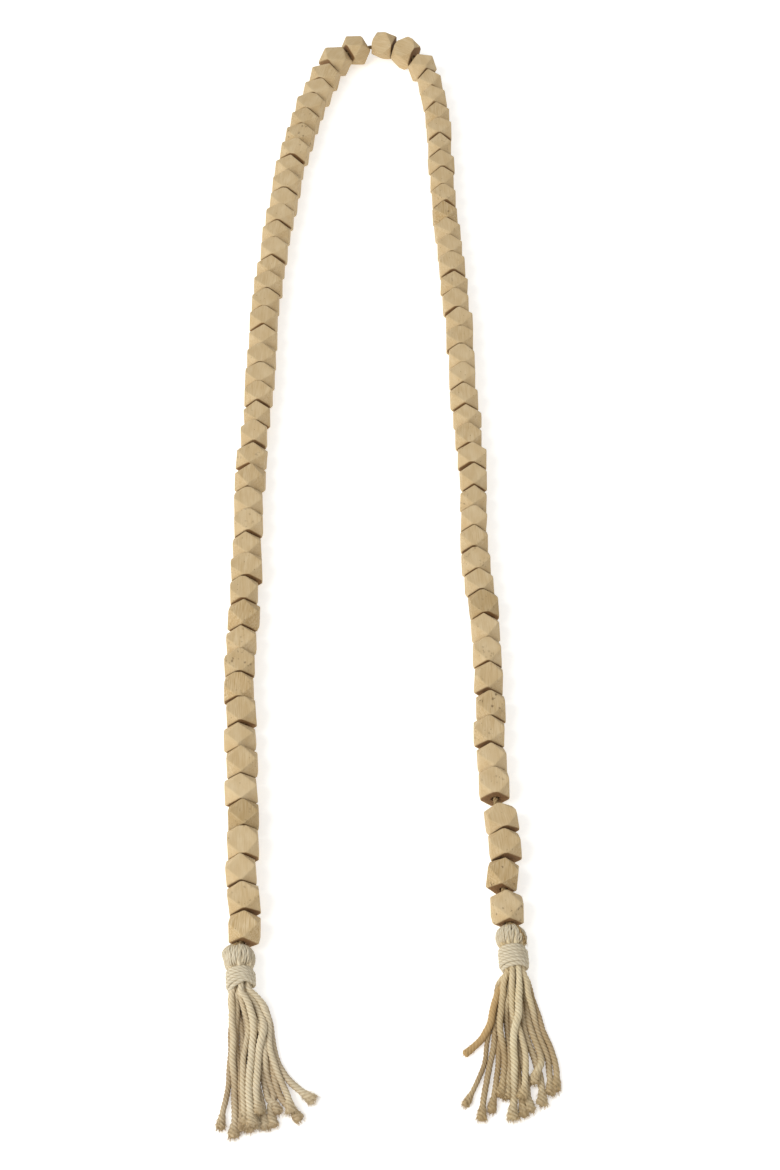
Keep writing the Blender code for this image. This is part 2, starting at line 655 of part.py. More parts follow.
def build_binding(tassel, parts, cotton):
    """The wound binding as one ring with its turns on the outside."""
    strand = strand_radius(tassel.bound) + MERGE
    inner = RING_WIDTH + strand + CLEARANCE / math.cos(math.pi / BINDING_SIDES)
    squash = (RING_HEIGHT + strand) / (RING_WIDTH + strand)
    outline = [(inner, 0.0)]
    pitch = tassel.binding / tassel.turns
    for turn in range(tassel.turns):
        for share, bulge in TURN_PROFILE:
            outline.append((inner + bulge * BINDING_CORD, (turn + share) * pitch))
    outline.append((inner, tassel.binding))
    profile = bmesh.new()
    verts = [profile.verts.new((radius, 0.0, -along)) for radius, along in outline]
    for a, b in zip(verts, [*verts[1:], verts[0]]):
        profile.edges.new((a, b))
    bmesh.ops.spin(
        profile, geom=profile.verts[:] + profile.edges[:], angle=math.tau, steps=BINDING_SIDES,
        axis=(0, 0, 1), cent=(0, 0, 0), use_merge=True,
    )
    bmesh.ops.remove_doubles(profile, verts=profile.verts, dist=SHORTEST_EDGE)
    start = tassel.head + CLEARANCE
    for vert in profile.verts:
        x, y, down = vert.co
        along = start - down
        vert.co = (x + tassel.aside(along), tassel.slant * x - along, y * squash + AXIS_HEIGHT)
    bmesh.ops.recalc_face_normals(profile, faces=profile.faces)
    mesh = bpy.data.meshes.new("binding")
    profile.to_mesh(mesh)
    profile.free()
    mesh.shade_smooth()
    add_object(f"tassel_{tassel.name}_binding", mesh, parts, cotton).matrix_world = tassel.place


def main():
    """Builds the garland."""
    clear_scene()
    parts = new_collection(COLLECTION)
    cutters = new_collection("cutters")
    wood = material("natural_wood", (0.56, 0.42, 0.23), 0.75)
    cotton = material("natural_cotton", (0.72, 0.62, 0.43), 0.9)
    route = Route([string_point(x * MM, y * MM) for x, y in ROUTE])
    beads = string_beads(route)
    build_beads(route, beads, parts, cutters, wood)
    build_cord(route, parts, cotton)
    for tassel in (
        Tassel("left", route.points[0], 11.0, 10.4, 5, 0.16, -0.9, 0.1, LEFT_STRANDS),
        Tassel("right", route.points[-1], 9.6, 13.0, 6, 0.03, 0.6, 0.065, RIGHT_STRANDS),
    ):
        build_strands(tassel, parts, cutters, cotton)
        build_binding(tassel, parts, cotton)


main()
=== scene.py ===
"""Wood bead garland: eighty-seven cut wood beads on a cotton string that ends in two tassels.

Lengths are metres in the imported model's frame: the surface it lies on is z = 0, +Y runs up the
arch and the tassels lie at -Y.
"""
import sys

import bisect
import json
import logging
import math
import random
from collections.abc import Callable
from dataclasses import dataclass, field, fields
from enum import Enum
from functools import partial
from itertools import pairwise

import bmesh
import bpy
import numpy as np
from mathutils import Matrix, Vector, noise

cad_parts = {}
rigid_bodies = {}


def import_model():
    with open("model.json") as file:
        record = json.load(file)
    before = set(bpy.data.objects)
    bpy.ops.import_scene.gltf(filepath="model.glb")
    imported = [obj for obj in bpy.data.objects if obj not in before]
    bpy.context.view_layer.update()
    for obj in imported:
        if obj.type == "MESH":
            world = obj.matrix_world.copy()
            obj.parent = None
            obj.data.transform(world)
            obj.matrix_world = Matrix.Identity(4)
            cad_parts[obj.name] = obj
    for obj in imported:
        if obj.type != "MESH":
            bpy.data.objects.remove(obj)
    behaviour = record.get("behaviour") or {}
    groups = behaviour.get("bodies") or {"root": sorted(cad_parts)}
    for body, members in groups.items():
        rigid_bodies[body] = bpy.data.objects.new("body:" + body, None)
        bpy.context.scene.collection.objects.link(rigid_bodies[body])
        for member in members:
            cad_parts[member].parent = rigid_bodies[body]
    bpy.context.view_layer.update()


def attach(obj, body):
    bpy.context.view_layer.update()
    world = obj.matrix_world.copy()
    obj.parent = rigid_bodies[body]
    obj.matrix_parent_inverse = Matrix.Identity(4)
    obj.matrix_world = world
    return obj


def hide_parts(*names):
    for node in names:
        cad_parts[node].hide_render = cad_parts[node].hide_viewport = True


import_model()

MM = 0.001
LOG = logging.getLogger("garland")
# a cord's points, each with its radius there
Line = list[tuple[Vector, float]]
Table = tuple[tuple[float, ...], ...]
Material = bpy.types.Material
Mesh = bpy.types.Mesh
Object = bpy.types.Object
Socket = bpy.types.NodeSocket


def linear(colour: str) -> tuple[float, float, float, float]:
    """Turns an sRGB hex colour to linear.

    Args:
        colour: the colour as #RRGGBB.

    Returns:
        Red, green, blue and an alpha of one.
    """
    shares = [int(colour[i:i + 2], 16) / 255 for i in (1, 3, 5)]
    red, green, blue = (c / 12.92 if c <= 0.04045 else ((c + 0.055) / 1.055) ** 2.4 for c in shares)
    return red, green, blue, 1.0


def feed(socket: Socket, value: object) -> None:
    """Gives an input a value, or links the output or outputs that feed it.

    Args:
        socket: the input.
        value: a plain value, an output or a list of outputs.
    """
    for item in value if isinstance(value, list) else [value]:
        if isinstance(item, Socket):
            socket.id_data.links.new(item, socket)
        else:
            socket.default_value = item


def add_node(
    tree: bpy.types.NodeTree, kind: str, *values: object, output: str = "", **settings: object
) -> Socket | None:
    """Adds a node with its settings and links.

    Args:
        tree: the tree the node goes into.
        kind: the node's type name and, after a space, its operation if it has one.
        values: what its open inputs get, in order. None leaves one as it is.
        output: the name of the output wanted, if it isn't the first.
        settings: the node's own properties and, with a capital letter, inputs by name.

    Returns:
        The output wanted.
    """
    kind, *operation = kind.split()
    node = tree.nodes.new(kind)
    settings |= {"operation": name for name in operation}
    for name, value in settings.items():
        if name.islower():
            setattr(node, name, value)
    opened = [socket for socket in node.inputs if socket.enabled]
    for socket, value in zip(opened, values):
        if value is not None:
            feed(socket, value)
    for socket in opened:
        if socket.name.replace(" ", "_") in settings:
            feed(socket, settings[socket.name.replace(" ", "_")])
    return next((s for s in node.outputs if s.enabled and output in ("", s.name)), None)


def add_object(name: str, data: bpy.types.ID) -> Object:
    """Puts an object of some data in the scene.

    Args:
        name: the object's name.
        data: its mesh, curve, lamp or lens.

    Returns:
        The object.
    """
    obj = bpy.data.objects.new(name, data)
    bpy.context.scene.collection.objects.link(obj)
    return obj


def add_attribute(mesh: Mesh, name: str, values: np.ndarray) -> None:
    """Stores a value or a vector on each point of a mesh.

    Args:
        mesh: the mesh.
        name: the attribute's name.
        values: one number or one row a point.
    """
    kind, key = ("FLOAT_VECTOR", "vector") if values.ndim > 1 else ("FLOAT", "value")
    mesh.attributes.new(name, kind, "POINT").data.foreach_set(key, values.ravel())


def points_of(mesh: Mesh) -> np.ndarray:
    """Reads the places of a mesh's points.

    Args:
        mesh: the mesh.

    Returns:
        One row a point.
    """
    values = np.empty(3 * len(mesh.vertices), np.float64)
    mesh.vertices.foreach_get("co", values)
    return values.reshape(-1, 3)


class Route:
    """A smooth curve through points, read by distance along it."""

    SAMPLES = 24

    def __init__(self, points: list[Vector]) -> None:
        """Runs the curve through every point.

        Args:
            points: the points in order.
        """
        ends = [2 * points[0] - points[1], *points, 2 * points[-1] - points[-2]]
        self.points = [points[0]]
        for before, start, stop, after in zip(ends, ends[1:], ends[2:], ends[3:]):
            for i in range(1, self.SAMPLES + 1):
                t = i / self.SAMPLES
                self.points.append(
                    0.5 * (2 * start + (stop - before) * t
                           + (2 * before - 5 * start + 4 * stop - after) * t * t
                           + (3 * start - before - 3 * stop + after) * t ** 3)
                )
        self.distances = [0.0]
        for a, b in pairwise(self.points):
            self.distances.append(self.distances[-1] + (b - a).length)
        self.length = self.distances[-1]

    def at(self, distance: float) -> Vector:
        """Finds the point at a distance.

        Args:
            distance: how far it is from the start.

        Returns:
            The point.
        """
        i = min(max(bisect.bisect_right(self.distances, distance) - 1, 0), len(self.points) - 2)
        share = (distance - self.distances[i]) / (self.distances[i + 1] - self.distances[i])
        return self.points[i].lerp(self.points[i + 1], share)


@dataclass(frozen=True)
class StringLayout:
    """How the string lies: up the left leg, round the arc, down the right leg."""

    route_mm: Table = (
        (-67.6, -281.8), (-66.4, -265.0), (-68.3, -245.0), (-69.2, -225.0), (-69.8, -205.0),
        (-71.3, -185.0), (-72.4, -160.0), (-74.0, -138.0), (-74.2, -112.0), (-73.5, -88.0),
        (-73.7, -62.0), (-74.0, -36.0), (-74.2, -8.0), (-72.5, 21.0), (-71.8, 49.0),
        (-71.2, 80.0), (-70.9, 111.0), (-69.4, 143.0), (-66.2, 176.0), (-63.0, 211.0),
        (-59.2, 245.0), (-53.0, 278.0), (-46.7, 305.0), (-40.8, 324.5), (-31.6, 346.0),
        (-18.6, 356.2), (-4.0, 359.3), (11.0, 354.8), (22.8, 342.3), (29.0, 326.5),
        (32.2, 308.0), (34.3, 282.0), (35.8, 245.0), (37.2, 211.0), (40.0, 176.0),
        (42.1, 143.0), (44.0, 111.0), (45.9, 80.0), (46.8, 49.0), (48.3, 21.0),
        (50.2, -8.0), (48.9, -36.0), (49.8, -62.0), (52.7, -89.0), (54.3, -114.0),
        (54.8, -139.0), (54.7, -163.0), (55.6, -187.0), (56.6, -209.0), (59.4, -228.0),
        (58.2, -247.0), (59.8, -262.0), (60.4, -271.8),
    )
    middle: tuple[float, float] = (0.64 * MM, 2.23 * MM)
    height: float = 7.6 * MM
    arc_start: float = 0.300
    arc_rise: float = 35 * MM
    arc_lift: float = 1.2 * MM

    def route(self) -> Route:
        """The string's own line, which rides a little higher in the arc."""
        points = []
        for x, y in self.route_mm:
            share = min(max((y * MM - self.arc_start) / self.arc_rise, 0.0), 1.0)
            height = self.height + self.arc_lift * share
            points.append(Vector((x * MM + self.middle[0], y * MM + self.middle[1], height)))
        return Route(points)


# By bead: turn about the vertical and about the string in degrees, shift and extra width in mm,
# deeper cut as a share of half an edge, extra length as a share
UNLIKE = {
    "turn": {
        6: 2, 8: -2, 12: 3, 14: -2, 15: 4, 20: -3, 22: 3, 27: -3, 44: 14, 45: -12, 46: 8, 53: 3,
        60: -3, 66: 2, 69: -3, 79: -3, 80: 3, 82: 3, 84: 2, 85: 4, 86: -7,
    },
    "roll": {43: 4, 44: -10, 45: 38, 46: 16, 47: 6, 48: 4, 49: 8},
    "shift": {
        1: 0.8, 2: -0.5, 3: -0.9, 6: -0.8, 8: -0.8, 10: -0.7, 11: -0.3, 12: -0.2, 13: 0.1,
        14: -1.4, 15: 0.4, 19: -0.5, 20: -0.9, 21: -1.5, 23: -0.5, 27: -0.8, 32: -0.6, 34: 0.6,
        41: 0.7, 43: -0.3, 49: 0.8, 53: 0.4, 60: -0.3, 62: -1, 63: 0.6, 65: 1.2, 66: 0.9,
        69: -0.7, 75: -0.8, 76: -0.8, 79: 0.2, 80: -0.2, 81: 0.9, 82: 0.8, 84: -0.8, 85: -0.6,
    },
    "wider": {
        1: -0.3, 3: -0.9, 6: 1, 8: 1.5, 10: -1, 12: 0.6, 13: 1.2, 14: -0.3, 15: 1, 19: 1.3,
        20: 1.2, 21: -0.4, 22: -1.8, 23: -1, 27: -0.3, 32: 0.6, 43: 1.2, 44: 0.5, 45: -1,
        46: 0.2, 49: 0.6, 53: 1.3, 60: 1.3, 62: 0.9, 63: 1.3, 65: 0.6, 66: 0.6, 67: 1.3, 69: 1,
        75: 0.8, 76: 0.5, 81: 0.4, 82: -0.4,
    },
    "deeper": {
        8: 0.1, 13: 0.1, 15: -0.1, 19: 0.1, 43: -0.1, 44: 0.05, 45: -0.15, 46: -0.1, 47: 0.08,
        49: 0.1, 62: 0.1, 67: 0.1, 80: 0.1, 85: -0.1, 86: 0.1,
    },
    "longer": {11: -0.1, 13: 0.1, 19: 0.05, 43: 0.13, 44: -0.06, 46: -0.02, 48: 0.1, 51: -0.1, 87: 0.12},
}


@dataclass(frozen=True)
class BeadRules:
    """Sizes and hand-cut differences of the beads."""

    beads: int = 87
    # last bead of the run, mean width in mm, length as a share of the mean length
    runs: Table = (
        (21, 15.2, 1.025), (35, 16.0, 0.99), (42, 16.7, 0.99), (47, 15.6, 0.95),
        (67, 14.7, 1.0), (75, 14.4, 0.96), (79, 14.5, 1.05), (83, 14.8, 1.0), (87, 15.1, 0.95),
    )
    height: float = 15.2 * MM
    width_spread: float = 0.45 * MM
    height_spread: float = 0.3 * MM
    length_spread: float = 0.05
    off_centre: float = 0.45 * MM
    corner_cut: tuple[float, float] = (0.80, 1.06)
    corner_spread: float = 0.09
    cut_turn: float = math.radians(4.0)
    face_turn: float = math.radians(1.6)
    yaw_spread: float = math.radians(2.2)
    shortest_edge: float = 0.1 * MM
    seed: int = 41
    fitting_rounds: int = 8
    tilts: tuple[float, ...] = tuple(math.radians(angle) for angle in range(-12, 13, 4))
    clearance: float = 0.3 * MM
    pair_overlap: float = 0.25 * MM
    # bead before the joint, extra gap in mm
    wide_joints: Table = ((79, 1.0), (83, 4.2), (86, 1.4))
    # beads with a CAD node of their own, where all others share one by twos
    singles: tuple[int, ...] = (43, 44, 45, 46, 47, 86, 87)

    def nodes(self) -> dict[int, tuple[int, ...]]:
        """The beads of each CAD node, by its first bead."""
        nodes = {}
        number = 1
        while number <= self.beads:
            beads = (number,) if number in self.singles else (number, number + 1)
            nodes[number] = beads
            number += len(beads)
        return nodes


def slice_off(block: bmesh.types.BMesh, point: Vector, normal: Vector) -> None:
    """Cuts away what lies beyond a plane and closes the cut.

    Args:
        block: the solid.
        point: a point of the plane.
        normal: the plane's direction, towards what goes.
    """
    geometry = block.verts[:] + block.edges[:] + block.faces[:]
    cut = bmesh.ops.bisect_plane(
        block, geom=geometry, plane_co=point, plane_no=normal, clear_outer=True
    )
    edges = [item for item in cut["geom_cut"] if isinstance(item, bmesh.types.BMEdge)]
    if edges:
        bmesh.ops.contextual_create(block, geom=edges)


class Bead:
    """One hand-cut bead: its sizes, its cuts and where it sits."""

    def __init__(self, number: int, rules: BeadRules, draw: random.Random) -> None:
        """Draws the bead's sizes and cuts.

        Args:
            number: its place on the string, from the left tassel.
            rules: the sizes that all beads share.
            draw: the random numbers that all beads share.
        """
        mean, longer = next(run[1:] for run in rules.runs if number <= run[0])
        own = {name: values.get(number, 0) for name, values in UNLIKE.items()}
        self.number = number
        self.rules = rules
        self.width = mean * MM + draw.uniform(-1, 1) * rules.width_spread + own["wider"] * MM
        self.height = rules.height + draw.uniform(-1, 1) * rules.height_spread
        self.length = longer * (1 + draw.uniform(-1, 1) * rules.length_spread) * (1 + own["longer"])
        self.yaw = draw.uniform(-1, 1) * rules.yaw_spread + math.radians(own["turn"])
        self.roll = math.radians(own["roll"])
        self.shift = draw.uniform(-1, 1) * rules.off_centre + own["shift"] * MM
        self.cut = draw.uniform(*rules.corner_cut) + own["deeper"]
        self.corner_draws = [[draw.uniform(-1, 1) for _ in range(3)] for _ in range(8)]
        self.face_draws = [[draw.uniform(-1, 1) for _ in range(2)] for _ in range(3)]
        self.matrix = Matrix.Identity(4)
        self.corners: list[Vector] = []
        self.string_ends = (Vector(), Vector())

    def place(self, route: Route, distance: float) -> None:
        """Sets the bead on the string, down on the surface.

        Args:
            route: the string's line.
            distance: how far along it the bead's middle is.
        """
        self.string_ends = (
            route.at(distance - self.length / 2), route.at(distance + self.length / 2)
        )
        ahead = self.string_ends[1] - self.string_ends[0]
        point = route.at(distance)
        heading = math.atan2(-ahead.x, ahead.y) + self.yaw
        turned = Matrix.Rotation(heading, 4, "Z") @ Matrix.Rotation(self.roll, 4, "Y")
        block = self.block()
        points = [vert.co.copy() for vert in block.verts]
        block.free()
        lift = -min((turned @ corner).z for corner in points)
        aside = turned @ Vector((self.shift, 0, 0))
        middle = Vector((point.x + aside.x, point.y + aside.y, lift))
        self.matrix = Matrix.Translation(middle) @ turned
        self.corners = [self.matrix @ corner for corner in points]

    def reach(self, direction: Vector) -> float:
        """How far the bead goes in a direction."""
        return max(corner.dot(direction) for corner in self.corners)

    def ahead(self) -> Vector:
        """The direction along the string at the bead."""
        return self.matrix.to_3x3() @ Vector((0, 1, 0))

    def string_line(self) -> tuple[Vector, Vector, float]:
        """The string in the bead's own frame: where it enters, its direction, its length there."""
        start, stop = (self.matrix.inverted() @ end for end in self.string_ends)
        return start, (stop - start).normalized(), (stop - start).length

    def block(self) -> bmesh.types.BMesh:
        """The bead's sharp solid with no hole, around its own middle."""
        rules = self.rules
        half = Vector((self.width / 2, self.length / 2, self.height / 2))
        block = bmesh.new()
        bmesh.ops.create_cube(block, size=1.0)
        bmesh.ops.scale(block, vec=half * 2.2, verts=block.verts)
        for face in ((0, 0, -1), (0, 1, 0), (0, -1, 0)):
            slice_off(block, Vector(face) * half, Vector(face))
        for face, (first, second) in zip(((-1, 0, 0), (1, 0, 0), (0, 0, 1)), self.face_draws):
            normal = Vector(face)
            normal.rotate(Matrix.Rotation(first * rules.face_turn, 3, "Y"))
            normal.rotate(Matrix.Rotation(second * rules.face_turn, 3, "Z" if face[0] else "X"))
            slice_off(block, Vector(face) * half, normal)
        corners = [(x, y, z) for x in (-1, 1) for y in (-1, 1) for z in (-1, 1)]
        for corner, (depth, first, second) in zip(corners, self.corner_draws):
            cut = self.cut + depth * rules.corner_spread
            normal = Vector(side / size for side, size in zip(corner, half)).normalized()
            normal.rotate(Matrix.Rotation(first * rules.cut_turn, 3, "X"))
            normal.rotate(Matrix.Rotation(second * rules.cut_turn, 3, "Z"))
            slice_off(block, Vector(corner) * half * (1 - cut / 3), normal)
        bmesh.ops.remove_doubles(block, verts=block.verts, dist=rules.shortest_edge)
        return block


def gap_between(bead: Bead, after: Bead) -> float:
    """Measures the gap between two beads.

    Args:
        bead: the first bead.
        after: the next one.

    Returns:
        The thickness of the thickest slab with flat sides that fits between them.
    """
    middle = (bead.ahead() + after.ahead()).normalized()
    widest = -1.0
    for turn in bead.rules.tilts:
        for tilt in bead.rules.tilts:
            along = Matrix.Rotation(turn, 3, "Z") @ middle
            along.z += math.tan(tilt)
            along.normalize()
            widest = max(widest, -after.reach(-along) - bead.reach(along))
    return widest


def string_beads(route: Route, rules: BeadRules) -> list[Bead]:
    """Places all beads so that they fill the string from end to end and only just touch.

    Args:
        route: the string's line.
        rules: the beads' sizes.

    Returns:
        The beads in order.
    """
    draw = random.Random(rules.seed)
    beads = [Bead(number, rules, draw) for number in range(1, rules.beads + 1)]
    pairs = {first for first, both in rules.nodes().items() if len(both) > 1}
    extra = dict(rules.wide_joints)
    wanted = [
        extra.get(bead.number, 0.0) * MM
        + (-rules.pair_overlap if bead.number in pairs else rules.clearance)
        for bead in beads
    ]
    shares = [bead.length for bead in beads]
    gaps = [rules.clearance] * (rules.beads - 1)
    for _ in range(rules.fitting_rounds):
        free = route.length - sum(gaps) - 2 * rules.clearance
        distance = rules.clearance
        for bead, share, gap in zip(beads, shares, [*gaps, 0.0]):
            bead.length = share * free / sum(shares)
            bead.place(route, distance + bead.length / 2)
            distance += bead.length + gap
        for i, (bead, after) in enumerate(pairwise(beads)):
            gaps[i] += wanted[i] - gap_between(bead, after)
    return beads


@dataclass(frozen=True)
class Finish:
    """A matt material: how rough it is, how much it shines and how deep its relief is."""

    name: str
    roughness: float
    shine: float
    relief: float
    relief_share: float

    def surface(self, add: Callable[..., Socket]) -> tuple[Socket, Socket]:
        """The colour and the relief's height, from a function that adds a node to the tree."""
        raise NotImplementedError

    def build(self) -> Material:
        """The finish as a material."""
        made = bpy.data.materials.new(self.name)
        made.use_nodes = True
        add = partial(add_node, made.node_tree)
        colour, height = self.surface(add)
        bump = add(
            "ShaderNodeBump", Height=height, Distance=self.relief, Strength=self.relief_share
        )
        shader = made.node_tree.nodes["Principled BSDF"]
        for name, value in (
            ("Base Color", colour), ("Roughness", self.roughness),
            ("Specular IOR Level", self.shine), ("Normal", bump),
        ):
            feed(shader.inputs[name], value)
        return made


class Surface(Enum):
    """How a bead's wood came out under the knife: rough share, streak share, shade."""

    EVEN = (0.0, 0.25, 0.0)
    STREAKED = (0.1, 1.0, 0.05)
    PITTED = (0.75, 0.35, 0.1)
    KNOTTY = (1.0, 0.7, 0.25)
    DARK = (0.35, 0.4, 0.7)


@dataclass(frozen=True)
class CutBasswood(Finish):
    """Basswood cut with a knife, rubbed down and limed.

    It looks matt and chalky, with faint streaks along the grain and fine dark pores. Its edges are
    paler, partly rubbed wood and partly a painted highlight, and its ends and bore are brown, partly
    end grain that has drunk the stain and partly painted shade.
    """

    name: str = "cut_basswood"
    roughness: float = 0.82
    shine: float = 0.25
    relief: float = MM
    relief_share: float = 1.0
    ground: str = "#C8B088"
    streak: str = "#B29567"
    chalk: str = "#D6C29E"
    # pale edges: partly rubbed wood, partly a painted highlight along every edge
    edge: str = "#CDB88F"
    stain: str = "#8F7548"
    # brown of the end facets and bore: partly end grain that has drunk the stain, partly painted shade
    # in the gaps between beads and in the hole
    end: str = "#734B22"
    pore: str = "#4A3013"
    # in mm across and along the grain, noise where it starts and where it is full, detail
    patterns: Table = (
        (0.55, 9.0, 0.38, 0.66, 3.0), (4.5, 9.0, 0.35, 0.7, 2.0), (0.35, 0.35, 0.3, 0.7, 2.0),
        (4.5, 4.5, 0.5, 0.6, 1.0), (7.0, 7.0, 0.46, 0.52, 0.0),
    )
    # pits torn by the knife and fine pores: mm across and along, reach where one starts and is full
    holes: Table = ((1.9, 2.85, 0.33, 0.2), (2.2, 3.6, 0.11, 0.05))
    tear: float = 1.1
    raggedness: float = 0.9
    # relief in mm of pits, grit and grain
    heights: tuple[float, float, float] = (-0.2275, 0.035, 0.05)

    def surface(self, add: Callable[..., Socket]) -> tuple[Socket, Socket]:
        """The wood's colour and the height of its grain, in millimetres.

        Args:
            add: adds a node to the material's tree.

        Returns:
            The colour and the height.
        """
        place = add("ShaderNodeAttribute", attribute_name="grain_place", output="Vector")
        own = {
            name: add("ShaderNodeAttribute", attribute_name=name, output="Fac")
            for name in ("streaks", "shade", "edge", "end_grain", "rough")
        }
        sizes = (*(row[:2] for row in (*self.patterns, *self.holes)), (self.tear, self.tear))
        scaled = [
            add("ShaderNodeVectorMath MULTIPLY", place, (1 / (x * MM), 1 / (y * MM), 1 / (x * MM)))
            for x, y in sizes
        ]
        shares = []
        for where, (*_, low, high, detail) in zip(scaled, self.patterns):
            cells = add("ShaderNodeTexNoise", where, 1.0, detail)
            shares.append(add("ShaderNodeMapRange", cells, low, high))
        fibres, clouds, grit, rough_patches, porous_patches = shares
        ragged = add("ShaderNodeTexNoise", scaled[-1], 1.0, 2.0, output="Color")
        torn = add(
            "ShaderNodeVectorMath MULTIPLY_ADD", ragged, (self.raggedness,) * 3, scaled[-3]
        )
        holes = []
        for where, patches, (*_, start, full) in zip(
            (torn, scaled[-2]), (rough_patches, porous_patches), self.holes
        ):
            cells = add("ShaderNodeTexVoronoi", where, 1.0)
            dots = add("ShaderNodeMapRange", cells, start, full)
            holes.append(add("ShaderNodeMath MULTIPLY", dots, patches))
        pits = add("ShaderNodeMath MULTIPLY", holes[0], own["rough"])
        colour = linear(self.ground)
        for share, amount, above in (
            (clouds, 0.75, self.chalk), (fibres, own["streaks"], self.streak),
            (grit, 0.14, self.streak), (own["shade"], 0.55, self.stain),
            # pale edges: partly rubbed wood, partly painted highlight; brown ends: partly end grain,
            # partly painted shade
            (own["edge"], 0.38, self.edge), (own["end_grain"], 0.85, self.end),
            (pits, 0.65, self.pore), (holes[1], 0.75, self.pore),
        ):
            laid = add("ShaderNodeMath MULTIPLY", share, amount)
            colour = add("ShaderNodeMix", laid, colour, linear(above), data_type="RGBA")
        height = 0.0
        for part, rise in zip((pits, grit, fibres), self.heights):
            height = add("ShaderNodeMath MULTIPLY_ADD", part, rise, height)
        return colour, height


@dataclass(frozen=True)
class TwistedCotton(Finish):
    """Unbleached cotton spun in plies and twisted: matt cream with loose fibres, painted shade in the
    creases between plies and painted shade low in a tassel.
    """

    name: str = "twisted_cotton"
    roughness: float = 0.93
    shine: float = 0.1
    relief: float = 0.25 * MM
    relief_share: float = 0.8
    crest: str = "#E2D4AF"
    pale: str = "#EFE5C9"
    # painted shade in the creases between plies, mixed with darker loose fibres
    groove: str = "#8E6A30"
    # painted shade low in a tassel, where strands lie under others, less near the cut ends
    depth: str = "#765020"
    tan: str = "#B49767"
    fibre_width: float = 0.22 * MM
    fibre_length: float = 2.4 * MM
    cord_radius: float = 1.5 * MM
    lumps: float = 140.0
    groove_share: float = 0.8
    tan_share: float = 0.5
    depth_share: float = 0.75

    def surface(self, add: Callable[..., Socket]) -> tuple[Socket, Socket]:
        """The cotton's colour, with painted shade between the plies and low in a tassel, and its fibres.

        Args:
            add: adds a node to the material's tree.

        Returns:
            The colour and the height.
        """
        across, where = (
            add("ShaderNodeAttribute", attribute_name="ply_place", output="Vector"),
            add("ShaderNodeTexCoord", output="Object"),
        )
        along, ply, tone, to_end = (
            add("ShaderNodeAttribute", attribute_name=name, output="Fac")
            for name in ("along", "ply", "tone", "to_end")
        )
        run = add("ShaderNodeMath MULTIPLY", along, 1 / self.fibre_length)
        stretch = self.cord_radius / self.fibre_width
        place = add(
            "ShaderNodeVectorMath MULTIPLY_ADD", across, (stretch, stretch, 1.0),
            add("ShaderNodeCombineXYZ", 0.0, 0.0, run),
        )
        fibres = add("ShaderNodeTexNoise", place, 1.0, 3.0)
        height = add("ShaderNodeSeparateXYZ", where, output="Z")
        frayed, deep, dark, low, inside = (
            add("ShaderNodeMapRange", value, start, full, least, most)
            for value, start, full, least, most in (
                (to_end, 8 * MM, 0.0, 0.0, 0.4), (ply, 0.75, 0.1, 0.0, self.groove_share),
                (fibres, 0.6, 0.35, 0.0, 0.3), (height, 5.5 * MM, 0.5 * MM, 0.0, self.depth_share),
                (to_end, 3 * MM, 15 * MM, 0.3, 1.0),
            )
        )
        colour = linear(self.crest)
        for share, above in (
            (add("ShaderNodeTexNoise", where, self.lumps), self.pale),
            (add("ShaderNodeMath MULTIPLY", tone, self.tan_share), self.tan),
            (frayed, self.tan),
            # painted shade in the creases between plies, and darker fibres
            (add("ShaderNodeMath MAXIMUM", deep, dark), self.groove),
            # painted shade low in a tassel, faded out near the cut ends
            (add("ShaderNodeMath MULTIPLY", low, inside), self.depth),
        ):
            colour = add("ShaderNodeMix", share, colour, linear(above), data_type="RGBA")
        return colour, fibres


